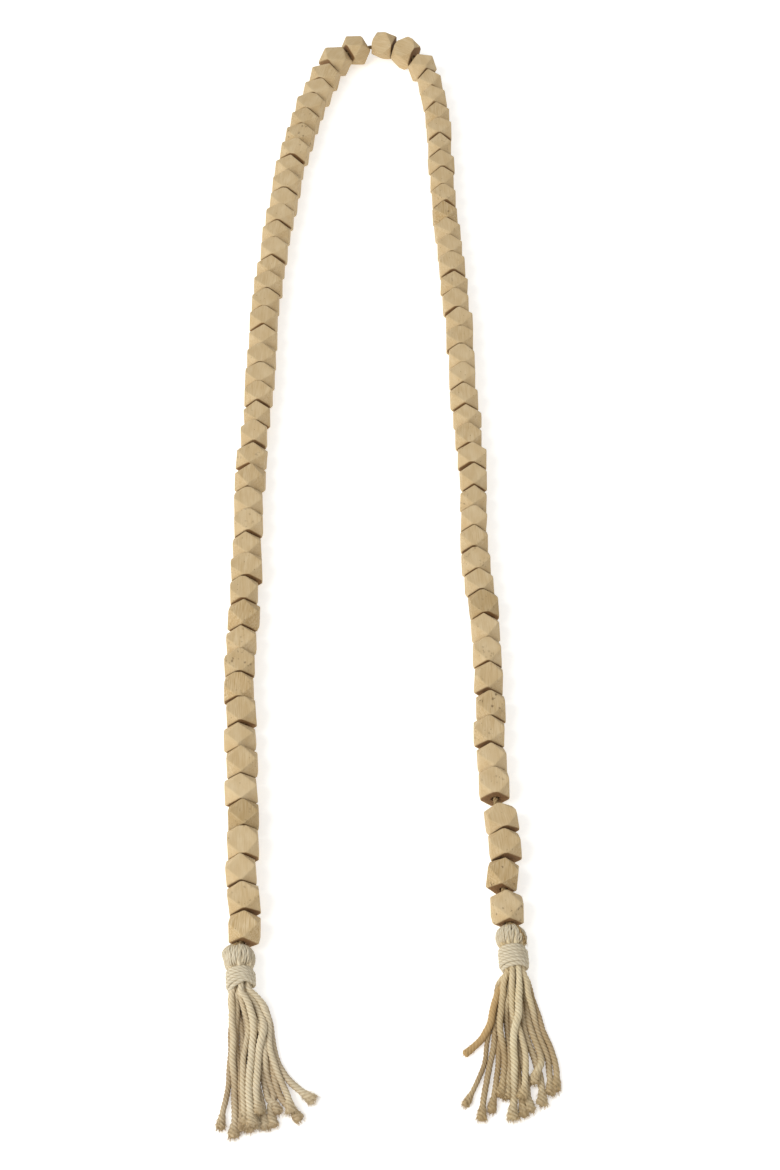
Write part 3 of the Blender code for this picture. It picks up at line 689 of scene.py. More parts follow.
@dataclass
class BeadRow:
    """All the beads, each a piece of its own, with rounded edges and an uneven hand-cut surface."""

    beads: list[Bead]
    rules: BeadRules
    spacing: float = 1.2 * MM
    insets: tuple[float, ...] = (0.25 * MM, 0.7 * MM)
    # a low value is well rubbed down
    sharpness: tuple[float, float] = (42.0, 80.0)
    crease_angle: float = math.radians(50)
    unevenness: float = 0.16 * MM
    hollow: float = 5.5 * MM
    # depth of the dents everywhere, of broad hollows and of fine ones, as shares of the unevenness
    dents: tuple[float, float, float] = (0.45, 0.6, 0.18)
    weld: float = 0.003 * MM
    # how straight along the string a facet looks that counts as an end
    end_facet: float = 0.97
    end_trim: float = 0.02 * MM
    bore: float = 2.2 * MM
    lip: float = 0.5 * MM
    lip_depth: float = 0.45 * MM
    beyond: float = 1.5 * MM
    bore_sides: int = 28
    surfaces: tuple[tuple[int, Surface], ...] = (
        (1, Surface.STREAKED), (5, Surface.DARK), (10, Surface.STREAKED), (11, Surface.PITTED),
        (13, Surface.STREAKED), (38, Surface.PITTED), (56, Surface.KNOTTY), (71, Surface.PITTED),
        (76, Surface.DARK), (80, Surface.KNOTTY), (86, Surface.KNOTTY), (87, Surface.PITTED),
    )
    # how much more than its surface says a bead's shade and streaks may be
    shade_spread: tuple[float, float] = (-0.1, 0.22)
    streak_spread: tuple[float, float] = (-0.1, 0.35)
    # how many of the even beads are a little rough, and how rough
    rough_share: float = 0.22
    roughness: float = 0.4
    pieces: list[Object] = field(default_factory=list)

    def facets(self, bead: Bead) -> tuple[np.ndarray, np.ndarray, list[list[Vector]]]:
        """Finds the facets of a bead.

        Args:
            bead: the bead.

        Returns:
            The facets' outward directions, their distances from the middle, their corners.
        """
        block = bead.block()
        bmesh.ops.recalc_face_normals(block, faces=block.faces)
        normals = np.array([face.normal for face in block.faces])
        corners = [[vert.co.copy() for vert in face.verts] for face in block.faces]
        block.free()
        middles = np.array([sum(outline, Vector()) / len(outline) for outline in corners])
        return normals, (normals * middles).sum(1), corners

    def facet(self, corners: list[Vector]) -> tuple[list[Vector], list[tuple[int, ...]]]:
        """Lays rings of points around a facet's middle, closer together near its edges.

        Args:
            corners: the facet's corners in order.

        Returns:
            The points and the faces between them.
        """
        middle = sum(corners, Vector()) / len(corners)
        outline: list[Vector] = []
        nearest = math.inf
        for a, b in zip(corners, [*corners[1:], corners[0]]):
            steps = max(1, round((b - a).length / self.spacing))
            outline += [a.lerp(b, i / steps) for i in range(steps)]
            along = (b - a).normalized()
            nearest = min(nearest, ((middle - a) - (middle - a).dot(along) * along).length)
        shares = [1.0]
        shares += [1 - min(inset / nearest, 0.25 * k) for k, inset in enumerate(self.insets, 1)]
        shares.append(shares[-1] * 0.5)
        count = len(outline)
        points = [middle.lerp(point, share) for share in shares for point in outline] + [middle]
        inner = (len(shares) - 1) * count
        faces: list[tuple[int, ...]] = []
        for start in range(0, inner, count):
            for i in range(count):
                j = (i + 1) % count
                faces.append((start + i, start + j, start + count + j, start + count + i))
        faces += [(inner + i, inner + (i + 1) % count, len(points) - 1) for i in range(count)]
        return points, faces

    def skin(self, bead: Bead) -> Mesh:
        """Makes the bead's outer surface: facets that meet in rubbed edges.

        Args:
            bead: the bead.

        Returns:
            The surface with no hole, around the bead's own middle.
        """
        normals, reach, corners = self.facets(bead)
        points: list[Vector] = []
        faces: list[tuple[int, ...]] = []
        for outline in corners:
            ring_points, ring_faces = self.facet(outline)
            faces += [tuple(len(points) + i for i in face) for face in ring_faces]
            points += ring_points
        mesh = bpy.data.meshes.new("skin")
        mesh.from_pydata(points, [], faces)
        welded = bmesh.new()
        welded.from_mesh(mesh)
        bmesh.ops.remove_doubles(welded, verts=welded.verts, dist=self.weld)
        bmesh.ops.recalc_face_normals(welded, faces=welded.faces)
        welded.to_mesh(mesh)
        welded.free()
        places = points_of(mesh)
        outward = places / np.linalg.norm(places, axis=1)[:, None]
        # The CAD solids of a pair run into each other, and these pieces don't
        trim = self.rules.pair_overlap / 2 + self.end_trim
        trimmed = reach - np.where(np.abs(normals[:, 1]) > self.end_facet, trim, 0.0)
        sharpness = self.sharpness_of(bead)
        shares = np.clip(outward @ normals.T / trimmed, 0, None) ** sharpness
        radius = shares.sum(1) ** (-1 / sharpness)
        dents = np.array([self.dent(bead, Vector(place)) for place in places])
        mesh.vertices.foreach_set("co", (outward * (radius - dents)[:, None]).ravel())
        return mesh

    def sharpness_of(self, bead: Bead) -> float:
        """How crisp a bead's edges are."""
        return random.Random(bead.number).uniform(*self.sharpness)

    def dent(self, bead: Bead, place: Vector) -> float:
        """Finds how far the surface is below the true facet.

        Args:
            bead: the bead.
            place: a point of its surface.

        Returns:
            The depth.
        """
        start = Vector((bead.number * 3.7, bead.number * 1.3, 0.0))
        even, broad, fine = self.dents
        depth = even + broad * noise.noise(place / self.hollow + start)
        return self.unevenness * max(0.0, depth + fine * noise.noise(place / (self.hollow / 3) - start))

    def bore_cutter(self, bead: Bead) -> Mesh:
        """Makes the drill's shape through a bead, a little wider at both mouths.

        Args:
            bead: the bead.

        Returns:
            The closed shape, in the bead's own frame.
        """
        start, along, length = bead.string_line()
        turn = along.to_track_quat("Z", "X").to_matrix()
        wide = self.bore + self.lip * (1 + self.beyond / self.lip_depth)
        cutter = bmesh.new()
        loops = []
        for down, radius in (
            (-self.beyond, wide), (self.lip_depth, self.bore),
            (length - self.lip_depth, self.bore), (length + self.beyond, wide),
        ):
            loop = []
            for i in range(self.bore_sides):
                angle = math.tau * i / self.bore_sides
                offset = turn @ Vector((math.cos(angle), math.sin(angle), 0)) * radius
                loop.append(cutter.verts.new(start + along * down + offset))
            loops.append(loop)
        for loop, after in pairwise(loops):
            for i in range(self.bore_sides):
                cutter.faces.new((loop[i - 1], loop[i], after[i], after[i - 1]))
        cutter.faces.new(loops[0])
        cutter.faces.new(loops[-1])
        bmesh.ops.recalc_face_normals(cutter, faces=cutter.faces)
        mesh = bpy.data.meshes.new("bore")
        cutter.to_mesh(mesh)
        cutter.free()
        return mesh

    def mark(self, bead: Bead, mesh: Mesh) -> None:
        """Stores what the finish needs: place in the grain, edges for the rubbed wood and painted
        highlight, ends and bore for the end grain and painted shade, roughness.

        Args:
            bead: the bead.
            mesh: its bored mesh, in the bead's own frame.
        """
        normals, reach, _ = self.facets(bead)
        places = points_of(mesh)
        draw = random.Random(1000 + bead.number)
        offset = [draw.uniform(0, 1) for _ in range(3)]
        outward = places / np.linalg.norm(places, axis=1)[:, None]
        shares = np.clip(outward @ normals.T / reach, 1e-9, None)
        powers = (shares / shares.max(1)[:, None]) ** self.sharpness_of(bead)
        edge = np.log(powers.sum(1)) / math.log(2)
        ends = powers[:, np.abs(normals[:, 1]) > self.end_facet].sum(1) / powers.sum(1)
        start, along, _ = (np.array(part) for part in bead.string_line())
        aside = (places - start) - np.outer((places - start) @ along, along)
        drilled = np.linalg.norm(aside, axis=1) < self.bore + 0.6 * self.lip
        rough, streaks, shade = dict(self.surfaces).get(bead.number, Surface.EVEN).value
        rough = max(rough, self.roughness * (draw.random() < self.rough_share))
        shade = min(1.0, max(0.0, shade + draw.uniform(*self.shade_spread)))
        streaks = min(1.0, streaks + draw.uniform(*self.streak_spread))
        add_attribute(mesh, "grain_place", places + offset)
        # where facets meet, painted paler as rubbed wood and as a painted highlight
        add_attribute(mesh, "edge", np.clip(edge, 0, 1) * ~drilled)
        # end facets and the bore take the brown end colour: partly end grain, partly painted shade in
        # the gaps and in the hole
        add_attribute(mesh, "end_grain", np.maximum(ends ** 2, drilled))
        for name, value in (("rough", rough), ("streaks", streaks), ("shade", shade)):
            add_attribute(mesh, name, np.full(len(places), value))

    def build(self) -> None:
        """Makes every bead's mesh, bored for the string."""
        blanks = []
        for bead in self.beads:
            blank = add_object(f"blank_{bead.number}", self.skin(bead))
            modifier = blank.modifiers.new("bore", "BOOLEAN")
            modifier.operation = "DIFFERENCE"
            modifier.solver = "MANIFOLD"
            modifier.object = add_object(f"drill_{bead.number}", self.bore_cutter(bead))
            blanks.append((bead, blank, modifier.object))
        graph = bpy.context.evaluated_depsgraph_get()
        for bead, blank, _ in blanks:
            mesh = bpy.data.meshes.new_from_object(blank.evaluated_get(graph))
            mesh.name = f"bead_{bead.number:02d}"
            self.mark(bead, mesh)
            mesh.transform(bead.matrix)
            mesh.shade_smooth()
            mesh.set_sharp_from_angle(angle=self.crease_angle)
            self.pieces.append(add_object(f"bead_piece_{bead.number:02d}", mesh))
        for _, blank, cutter in blanks:
            bpy.data.objects.remove(blank)
            bpy.data.objects.remove(cutter)

    def dress(self, finish: Finish) -> None:
        """Gives the beads their finish and puts them in place of their CAD nodes.

        Args:
            finish: the wood.
        """
        wood = finish.build()
        for beads in self.rules.nodes().values():
            node = "_".join(["beads" if len(beads) > 1 else "bead", *(f"{n:02d}" for n in beads)])
            for number in beads:
                piece = self.pieces[number - 1]
                piece.data.materials.clear()
                piece.data.materials.append(wood)
                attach(piece, "root")
                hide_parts(node)


@dataclass(frozen=True)
class CordShape:
    """A twisted cord's section, its twist and how it frays."""

    lay: float
    plies: int = 3
    groove: float = 0.36
    spacing: float = 0.55 * MM
    side_points: int = 18
    folded_lay: float = 1.0
    folded_length: float = 0.0
    flare: float = 0.0
    flare_length: float = 7 * MM
    blunt: float = 1.3 * MM
    crease: float = 0.0
    fray: float = 0.0
    fuzz: float = 0.0
    tuft: float = 0.0
    seed: int = 0


@dataclass
class CordTwister:
    """The Geometry Nodes that turn drawn lines into twisted cords with loose fibres."""

    # how round a ply's back is, how many turns cords differ by, how much a cut end is rounded
    roundness: float = 0.7
    turns_apart: float = 6.0
    rounding: float = 0.7
    # lumps and creased patches to a metre, and the noise where a crease starts and is full
    lumps: float = 900.0
    patches: float = 130.0
    creased: tuple[float, float] = (0.4, 0.65)
    # how much of the lumps of an open end the rest of a cord has
    least_lumps: float = 0.14
    tuft_length: float = 6.5 * MM
    # how far loose fibres stand off, for each unit that they run along the cord
    stand_off: float = 0.4
    # random salt, near the end only, how many, lengths and thickness in mm, how wild
    fibres: tuple[tuple[float, bool, str, tuple[float, float], float, float], ...] = (
        (11.0, False, "Fuzz", (0.8, 2.0), 0.035, 0.9), (23.0, True, "Tuft", (1.2, 2.8), 0.1, 0.5),
    )

    def __post_init__(self) -> None:
        """Builds the tree once, with an input for each of a cord's sizes."""
        self.tree = bpy.data.node_groups.new("twisted_cord", "GeometryNodeTree")
        self.add = partial(add_node, self.tree)
        face = self.tree.interface
        face.new_socket("Geometry", in_out="INPUT", socket_type="NodeSocketGeometry")
        kinds = {size.name: "Int" if size.type is int else "Float" for size in fields(CordShape)}
        self.ids = {
            name: face.new_socket(
                name.replace("_", " ").title(), in_out="INPUT", socket_type=f"NodeSocket{kind}"
            ).identifier
            for name, kind in (kinds | {"finish": "Material"}).items()
        }
        face.new_socket("Geometry", in_out="OUTPUT", socket_type="NodeSocketGeometry")
        self.given = self.add("NodeGroupInput").node.outputs
        cord = self.sweep()
        joined = self.add("GeometryNodeJoinGeometry", [self.hairs(cord), cord])
        real = self.add("GeometryNodeRealizeInstances", joined)
        dressed = self.add("GeometryNodeSetMaterial", real, None, self.given["Finish"])
        self.add("NodeGroupOutput", dressed)

    def section(self) -> Socket:
        """The cord's outline across: as many lobes as plies, with creases between them."""
        add, given = self.add, self.given
        circle = add("GeometryNodeCurvePrimitiveCircle", given["Side Points"], Radius=1.0)
        turn = add("ShaderNodeMath DIVIDE", add("GeometryNodeInputIndex"), given["Side Points"])
        half_turn = add("ShaderNodeMath MULTIPLY", turn, math.pi)
        angle = add("ShaderNodeMath MULTIPLY", half_turn, given["Plies"])
        lobe = add("ShaderNodeMath ABSOLUTE", add("ShaderNodeMath COSINE", angle))
        swell = add("ShaderNodeMath POWER", lobe, self.roundness)
        size = add("ShaderNodeMath MULTIPLY_ADD", given["Groove"], swell, 1.0)
        size = add("ShaderNodeMath SUBTRACT", size, given["Groove"])
        place = add("GeometryNodeInputPosition")
        lobed = add("ShaderNodeVectorMath SCALE", place, size)
        shaped = add("GeometryNodeSetPosition", circle, None, lobed)
        for name, value, kind in (("ply", swell, "FLOAT"), ("ply_place", place, "FLOAT_VECTOR")):
            shaped = add("GeometryNodeStoreNamedAttribute", shaped, None, name, value, data_type=kind)
        return shaped

    def sweep(self) -> Socket:
        """The twisted cord's surface along every drawn line."""
        add, given = self.add, self.given
        typed = add("GeometryNodeCurveSplineType", given["Geometry"], spline_type="CATMULL_ROM")
        even = add("GeometryNodeResampleCurve", typed, None, given["Spacing"], mode="LENGTH")
        along = add("GeometryNodeSplineParameter", output="Length")
        to_end = add("ShaderNodeMath SUBTRACT", add("GeometryNodeSplineLength"), along)
        tone = add(
            "FunctionNodeRandomValue", None, None, add("GeometryNodeCurveOfPoint"), given["Seed"],
            data_type="FLOAT",
        )
        folded = add("ShaderNodeMath MINIMUM", along, given["Folded Length"])
        free = add("ShaderNodeMath SUBTRACT", along, folded)
        free = add("ShaderNodeMath DIVIDE", free, given["Lay"])
        turns = add("ShaderNodeMath DIVIDE", folded, given["Folded Lay"])
        turns = add("ShaderNodeMath ADD", turns, free)
        start = add("ShaderNodeMath MULTIPLY", tone, self.turns_apart)
        tilt = add("ShaderNodeMath MULTIPLY_ADD", turns, math.tau, start)
        line = add("GeometryNodeSetCurveTilt", even, None, tilt)
        for name, value, kind in (
            ("along", along, "FLOAT"), ("to_end", to_end, "FLOAT"), ("tone", tone, "FLOAT"),
            ("run", add("GeometryNodeInputTangent"), "FLOAT_VECTOR"),
        ):
            line = add("GeometryNodeStoreNamedAttribute", line, None, name, value, data_type=kind)
        left = add("GeometryNodeInputNamedAttribute", "to_end", data_type="FLOAT")
        near = add("ShaderNodeMath DIVIDE", left, given["Flare Length"])
        opened = add("ShaderNodeMath MAXIMUM", add("ShaderNodeMath SUBTRACT", 1.0, near), 0.0)
        flare = add("ShaderNodeMath MULTIPLY_ADD", opened, given["Flare"], 1.0)
        blunt = add("ShaderNodeMath DIVIDE", left, given["Blunt"])
        blunt = add("ShaderNodeMath SUBTRACT", 1.0, add("ShaderNodeMath MINIMUM", blunt, 1.0))
        blunt = add("ShaderNodeMath MULTIPLY", blunt, blunt)
        blunt = add("ShaderNodeMath MULTIPLY", blunt, self.rounding)
        blunt = add("ShaderNodeMath SQRT", add("ShaderNodeMath SUBTRACT", 1.0, blunt))
        size = add("ShaderNodeMath MULTIPLY", add("GeometryNodeInputRadius"), flare)
        size = add("ShaderNodeMath MULTIPLY", size, blunt)
        cord = add("GeometryNodeCurveToMesh", line, self.section(), size, True)
        return self.roughen(cord, opened)

    def roughen(self, cord: Socket, opened: Socket) -> Socket:
        """Sinks the creases here and there and makes a cord's open end lumpy.

        Args:
            cord: the cord's surface.
            opened: how far it has opened near its end, from 0 to 1.

        Returns:
            The rough surface.
        """
        add, given = self.add, self.given
        lumps = add("ShaderNodeTexNoise", None, self.lumps, 1.0)
        lift = add("ShaderNodeMath SUBTRACT", lumps, 0.5)
        amount = add("ShaderNodeMath MULTIPLY_ADD", opened, opened, self.least_lumps)
        amount = add("ShaderNodeMath MULTIPLY", given["Fray"], amount)
        patches = add("ShaderNodeTexNoise", None, self.patches, 1.0)
        shown = add("ShaderNodeMapRange", patches, *self.creased)
        ply = add("GeometryNodeInputNamedAttribute", "ply", data_type="FLOAT")
        sunk = add("ShaderNodeMath SUBTRACT", 1.0, ply)
        sunk = add("ShaderNodeMath MULTIPLY", sunk, shown)
        sunk = add("ShaderNodeMath MULTIPLY", sunk, given["Crease"])
        rise = add("ShaderNodeMath MULTIPLY", lift, amount)
        rise = add("ShaderNodeMath SUBTRACT", rise, sunk)
        offset = add("ShaderNodeVectorMath SCALE", add("GeometryNodeInputNormal"), rise)
        moved = add("GeometryNodeSetPosition", cord, Offset=offset)
        return add("GeometryNodeSetShadeSmooth", moved)

    def hairs(self, cord: Socket) -> Socket:
        """Grows loose fibres along the cord and a tuft of them at its cut end.

        Args:
            cord: the cord's surface.

        Returns:
            The fibres.
        """
        add, given = self.add, self.given
        left = add("GeometryNodeInputNamedAttribute", "to_end", data_type="FLOAT")
        near_end = add("FunctionNodeCompare LESS_THAN", left, self.tuft_length, data_type="FLOAT")
        run = add("GeometryNodeInputNamedAttribute", "run", data_type="FLOAT_VECTOR")
        grown = []
        for salt, ends_only, amount, lengths, thick, spread in self.fibres:
            seeds = [add("ShaderNodeMath ADD", given["Seed"], salt + i) for i in range(3)]
            points = add(
                "GeometryNodeDistributePointsOnFaces", cord, near_end if ends_only else None,
                given[amount], seeds[0],
            )
            wild = add(
                "FunctionNodeRandomValue", (-spread,) * 3, (spread,) * 3, None, seeds[1],
                data_type="FLOAT_VECTOR",
            )
            lean = add("ShaderNodeVectorMath ADD", run, wild)
            normal = points.node.outputs["Normal"]
            out = add("ShaderNodeVectorMath MULTIPLY_ADD", normal, (self.stand_off,) * 3, lean)
            turn = add("FunctionNodeAlignRotationToVector", Vector=out, axis="Z")
            fibre = add(
                "GeometryNodeMeshCone", 3, 2, None, 0.3 * thick * MM, thick * MM, MM
            )
            length = add("FunctionNodeRandomValue", *lengths, None, seeds[2], data_type="FLOAT")
            size = add("ShaderNodeCombineXYZ", 1.0, 1.0, length)
            grown.append(add(
                "GeometryNodeInstanceOnPoints", points, Instance=fibre, Rotation=turn, Scale=size
            ))
        return add("GeometryNodeJoinGeometry", grown)

    def twist(self, name: str, lines: list[Line], shape: CordShape, finish: Material) -> Object:
        """Turns lines into one piece of twisted cord.

        Args:
            name: the piece's name.
            lines: each cord's line.
            shape: the cord's section and twist.
            finish: its material.

        Returns:
            The piece, a plain mesh at the origin.
        """
        curve = bpy.data.curves.new(f"{name}_lines", "CURVE")
        curve.dimensions = "3D"
        for line in lines:
            spline = curve.splines.new("POLY")
            spline.points.add(len(line) - 1)
            for target, (point, radius) in zip(spline.points, line):
                target.co = (*point, 1.0)
                target.radius = radius
        guide = add_object(f"{name}_lines", curve)
        modifier = guide.modifiers.new("cord", "NODES")
        modifier.node_group = self.tree
        for size in fields(shape):
            modifier[self.ids[size.name]] = getattr(shape, size.name)
        modifier[self.ids["finish"]] = finish
        graph = bpy.context.evaluated_depsgraph_get()
        mesh = bpy.data.meshes.new_from_object(guide.evaluated_get(graph))
        bpy.data.objects.remove(guide)
        mesh.name = name
        return add_object(name, mesh)


@dataclass
class StringingCord:
    """The string, one twisted cotton cord through all the beads and into both heads."""

    route: Route
    twister: CordTwister
    radius: float = 1.4 * MM
    step: float = 3.0 * MM
    into_head: float = 2.6 * MM
    shape: CordShape = CordShape(lay=6.5 * MM, spacing=0.9 * MM, side_points=12)
    pieces: list[Object] = field(default_factory=list)

    def build(self, finish: Material) -> None:
        """Args:
            finish: the string's cotton.
        """
        count = round(self.route.length / self.step)
        points = [self.route.at(self.route.length * i / count) for i in range(count + 1)]
        further = Vector((0, self.into_head, 0))
        points = [points[0] - further, *points, points[-1] - further]
        lines = [[(point, self.radius) for point in points]]
        piece = self.twister.twist("string_piece", lines, self.shape, finish)
        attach(piece, "root")
        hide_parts("stringing_cord")
        self.pieces.append(piece)


@dataclass(frozen=True)
class TasselRules:
    """Sizes that both tassels share."""

    head_drop: float = 1.0 * MM
    axis_height: float = 7.3 * MM
    ring_width: float = 3.7 * MM
    ring_height: float = 3.4 * MM
    inner_ring: float = 0.42
    bound_margin: float = 3.0 * MM
    outer_strands: int = 10
    # distance from the top of the head in mm, strand's radius in mm
    strand_radii: Table = ((0, 1.3), (25, 1.3), (32, 1.5), (110, 1.6))
    # between these, in mm down, a strand takes on its own thickness
    size_places: tuple[float, float] = (25, 32)
    spine_points: int = 41
    merge: float = 0.2 * MM
    settle_steps: int = 160
    # in each step: share of an overlap that is pushed away, how far a strand sinks, shares of the
    # way back to its drawn place and to a straight line
    push: float = 0.25
    sink: float = 0.05 * MM
    pull: float = 0.04
    straighten: float = 0.3
    bends: tuple[float, ...] = (0.25, 0.5, 0.75)
    layer_rise: float = 1.8
    # share of the head's length, half width and half height of its surface in mm
    head_rings: Table = (
        (0.0, 2.6, 2.3), (0.1, 4.8, 4.4), (0.32, 6.7, 6.1), (0.62, 7.2, 6.6), (0.9, 6.8, 6.3),
    )
    # share of the head's length, radius of a folded strand there in mm
    folded_radii: Table = (
        (0.0, 1.15), (0.1, 1.5), (0.32, 1.8), (0.62, 1.85), (0.9, 1.65), (1.0, 1.4),
    )
    clearance: float = 0.3 * MM
    # share of the head's length where a shoulder stands out most, and how far it reaches
    shoulder_place: float = 0.15
    shoulder_reach: float = 0.4
    # plies that show on the head, how deep their middles lie in it, how far each sways in radians
    # and lifts in mm
    folds: int = 34
    fold_depth: float = 0.4 * MM
    fold_sway: float = 0.14
    fold_lift: float = 0.25
    fold_ends: Table = ((1.02, 5.0, 4.7), (1.2, 4.6, 4.3))
    fold_radii: Table = ((0.0, 0.5), (0.12, 0.7), (0.6, 0.78), (1.0, 0.6))
    # how much wider the bundle swells where it comes out of the binding, and over which length
    swell: float = 0.24
    swell_length: float = 11 * MM
    # how far a strand strays, over which length, and how far below the binding it does so fully
    waviness: float = 0.8 * MM
    wave: float = 12 * MM
    stray_start: float = 2 * MM
    stray_rise: float = 14 * MM
    tail_radius: float = 0.75 * MM
    turn_points: int = 20
    # the binding cord's thickness for each unit of room, how deep it presses the strands, how far
    # its ends are tucked in over which share of its length, how far it wanders
    packing: float = 1.04
    press: float = 0.45 * MM
    tuck: float = 1.2 * MM
    tuck_share: float = 1 / 6
    wander: float = 0.22 * MM
    # slant at the top and how much more at the bottom, how far to the right it is highest, how
    # steeply it falls beyond
    slants: tuple[float, float] = (0.5, 3.0)
    highest: float = 2.5 * MM
    fall: float = 0.6

    def strand_radius(self, down: float, size: float = 1.0) -> float:
        """Finds a strand's radius.

        Args:
            down: the distance from the top of the head.
            size: the strand's own thickness as a share of the usual one.

        Returns:
            The radius there.
        """
        own = 1 + (size - 1) * np.interp(down / MM, self.size_places, (0, 1))
        return float(np.interp(down / MM, *zip(*self.strand_radii)) * own) * MM


STRAND = CordShape(
    lay=-8 * MM, plies=4, groove=0.23, folded_lay=-26 * MM, folded_length=24 * MM, flare=0.72,
    crease=0.14 * MM, fray=2.8 * MM, fuzz=1.2e5, tuft=1.5e6, side_points=20,
)
# A stained strand is stiff, smoother and cut clean
STAINED_STRAND = CordShape(
    lay=-8 * MM, plies=4, groove=0.1, flare=0.06, crease=0.14 * MM, fray=0.7 * MM, fuzz=4e4,
    tuft=1.5e5, side_points=20,
)
BINDING = CordShape(
    lay=6.5 * MM, groove=0.16, spacing=0.5 * MM, side_points=15, crease=0.12 * MM,
    fray=0.9 * MM, fuzz=5e4,
)
TAIL = CordShape(
    lay=3.4 * MM, plies=2, groove=0.4, spacing=0.3 * MM, side_points=12, flare=0.3, tuft=8e5
)
FOLD = CordShape(
    lay=7 * MM, plies=2, groove=0.25, spacing=0.5 * MM, side_points=10, fray=0.9 * MM, fuzz=1e5
)


@dataclass
class Tassel:
    """One tassel: strands folded over the string's end, bound, and spread on the surface."""

    name: str
    end: Vector
    head: float
    binding: float
    turns: int
    slant: float
    # how far the head's top is to the right of the string's end, and how much further each part
    # below it is, for each unit down
    middle: float
    lean: float
    # how far the head's left shoulder stands out, as a share of its half width
    shoulder: float
    # in mm from the top of the head: sideways at the three bends and at the end, distance down
    # to the end, thickness as a share of the usual one, layer
    strands: Table
    # the string's own end, tucked under the binding: share of the head's length, degrees round it
    tail: Table
    # which strands have taken a brown stain, by their row
    stained: tuple[int, ...]
    twister: CordTwister
    rules: TasselRules = TasselRules()
    seed: int = 3
    pieces: list[Object] = field(default_factory=list)

    def bound(self) -> float:
        """How far down the binding ends."""
        return self.head + self.binding

    def aside(self, down: float) -> float:
        """How far the tassel's axis is to the right at a distance from the top of the head."""
        return self.middle + self.lean * min(down, self.bound())

    def place(self, line: Line) -> Line:
        """Moves a line of the tassel's own frame to the model's."""
        start = Vector((self.end.x, self.end.y - self.rules.head_drop, 0))
        return [(point + start, radius) for point, radius in line]

    def ring_places(self) -> dict[int, tuple[float, float]]:
        """Where each strand passes the binding: angle round the bundle, share of its radius."""
        strands = self.strands
        order = sorted(range(len(strands)), key=lambda i: strands[i][0])
        inner = order[2:-2:3][: len(strands) - self.rules.outer_strands]
        lower = [i for i in order if i not in inner and strands[i][-1] == 0]
        upper = [i for i in order if i not in inner and strands[i][-1] > 0]
        places = {}
        # strands, angle of the first and the last in degrees, share of the bundle's radius
        for group, start, stop, share in (
            (lower, -172, -8, 1.0), (upper, 150, 30, 1.0), (inner, 160, 20, self.rules.inner_ring),
        ):
            for i, angle in zip(group, np.linspace(start, stop, len(group))):
                places[i] = (math.radians(angle), share)
        return places

    def strand_path(self, row: tuple[float, ...], angle: float, share: float) -> list[Vector]:
        """Lays one strand's points evenly from inside the head to its end.

        Args:
            row: the strand's row of the table.
            angle: where it passes the binding, round the bundle.
            share: how far out it does, as a share of the bundle's radius.

        Returns:
            The points in the tassel's own frame.
        """
        rules = self.rules
        *sideways, along, _, layer = row
        ring = Vector((
            math.cos(angle) * share * rules.ring_width, 0,
            math.sin(angle) * share * rules.ring_height + rules.axis_height,
        ))
        end = along * MM
        height = rules.strand_radius(end) * (1 + rules.layer_rise * layer)
        points = [
            ring + Vector((self.aside(down), -down, 0)) for down in (0, self.head, self.bound())
        ]
        for x, free in zip(sideways, (*rules.bends, 1.0)):
            down = self.bound() + free * (end - self.bound())
            z = ring.z + min(1.0, free / rules.bends[-1]) * (height - ring.z)
            points.append(Vector((x * MM, -down, z)))
        route = Route(points)
        last = rules.spine_points - 1
        path = [route.at(route.length * i / last) for i in range(last + 1)]
        for point in path:
            if -point.y < self.bound() + rules.bound_margin:
                point.x, point.z = ring.x + self.aside(-point.y), ring.z
        return path

    def settle(self, paths: np.ndarray, radii: np.ndarray) -> np.ndarray:
        """Pushes strands apart until they only touch and lets them down onto the surface.

        Args:
            paths: the strands' points.
            radii: the strands' radius at each.

        Returns:
            The settled points.
        """
        rules = self.rules
        count, length, _ = paths.shape
        goal = paths[..., :2].copy()
        owner = np.repeat(np.arange(count), length)
        reach = np.add.outer(radii.reshape(-1), radii.reshape(-1))
        other = owner[:, None] != owner[None, :]
        free = -paths[..., 1] > self.bound() + rules.bound_margin
        loose = free[..., None].astype(float)
        for _ in range(rules.settle_steps):
            flat = paths.reshape(-1, 3)
            apart = flat[:, None] - flat[None]
            away = np.sqrt((apart ** 2).sum(-1)) + 1e-9
            push = np.where(other & (away < reach), rules.push * (reach - away) / away, 0.0)
            move = (apart * push[..., None]).sum(1).reshape(paths.shape)
            move[..., 2] -= rules.sink
            move[..., :2] += rules.pull * (goal - paths[..., :2])
            paths = paths + move * loose
            bend = (paths[:, :-2] + paths[:, 2:]) / 2 - paths[:, 1:-1]
            paths[:, 1:-1] += rules.straighten * bend * loose[:, 1:-1]
            paths[..., 2] = np.maximum(paths[..., 2], radii + rules.merge)
        return paths

    def head_point(self, part: float, width: float, height: float, angle: float) -> Vector:
        """Finds a point of the head.

        Args:
            part: how far down the head it is, as a share of its length.
            width: the half width of the ring it is on.
            height: the half height of that ring.
            angle: where it is on the ring.

        Returns:
            The point in the tassel's own frame.
        """
        rules = self.rules
        x = math.cos(angle) * width
        if x < 0:
            near = 1 - abs(part - rules.shoulder_place) / rules.shoulder_reach
            x *= 1 + self.shoulder * max(0.0, near)
        down = part * self.head
        z = math.sin(angle) * height + rules.axis_height
        return Vector((x + self.aside(down), self.slant * part * x - down, z))

    def fold_lines(self) -> list[Line]:
        """The opened plies that show on the head, side by side from its top to the binding."""
        rules = self.rules
        lines = []
        for i in range(rules.folds):
            line = []
            for part, width, height in (*rules.head_rings, *rules.fold_ends):
                sway = rules.fold_sway * noise.noise(Vector((2.2 * part, 1.7 * i, self.seed)))
                lift = rules.fold_lift * noise.noise(Vector((1.7 * i, 2.5 * part, self.seed + 9)))
                reach = ((size + lift) * MM - rules.fold_depth for size in (width, height))
                point = self.head_point(part, *reach, math.tau * i / rules.folds + sway)
                line.append((point, float(np.interp(part, *zip(*rules.fold_radii))) * MM))
            lines.append(self.place(line))
        return lines

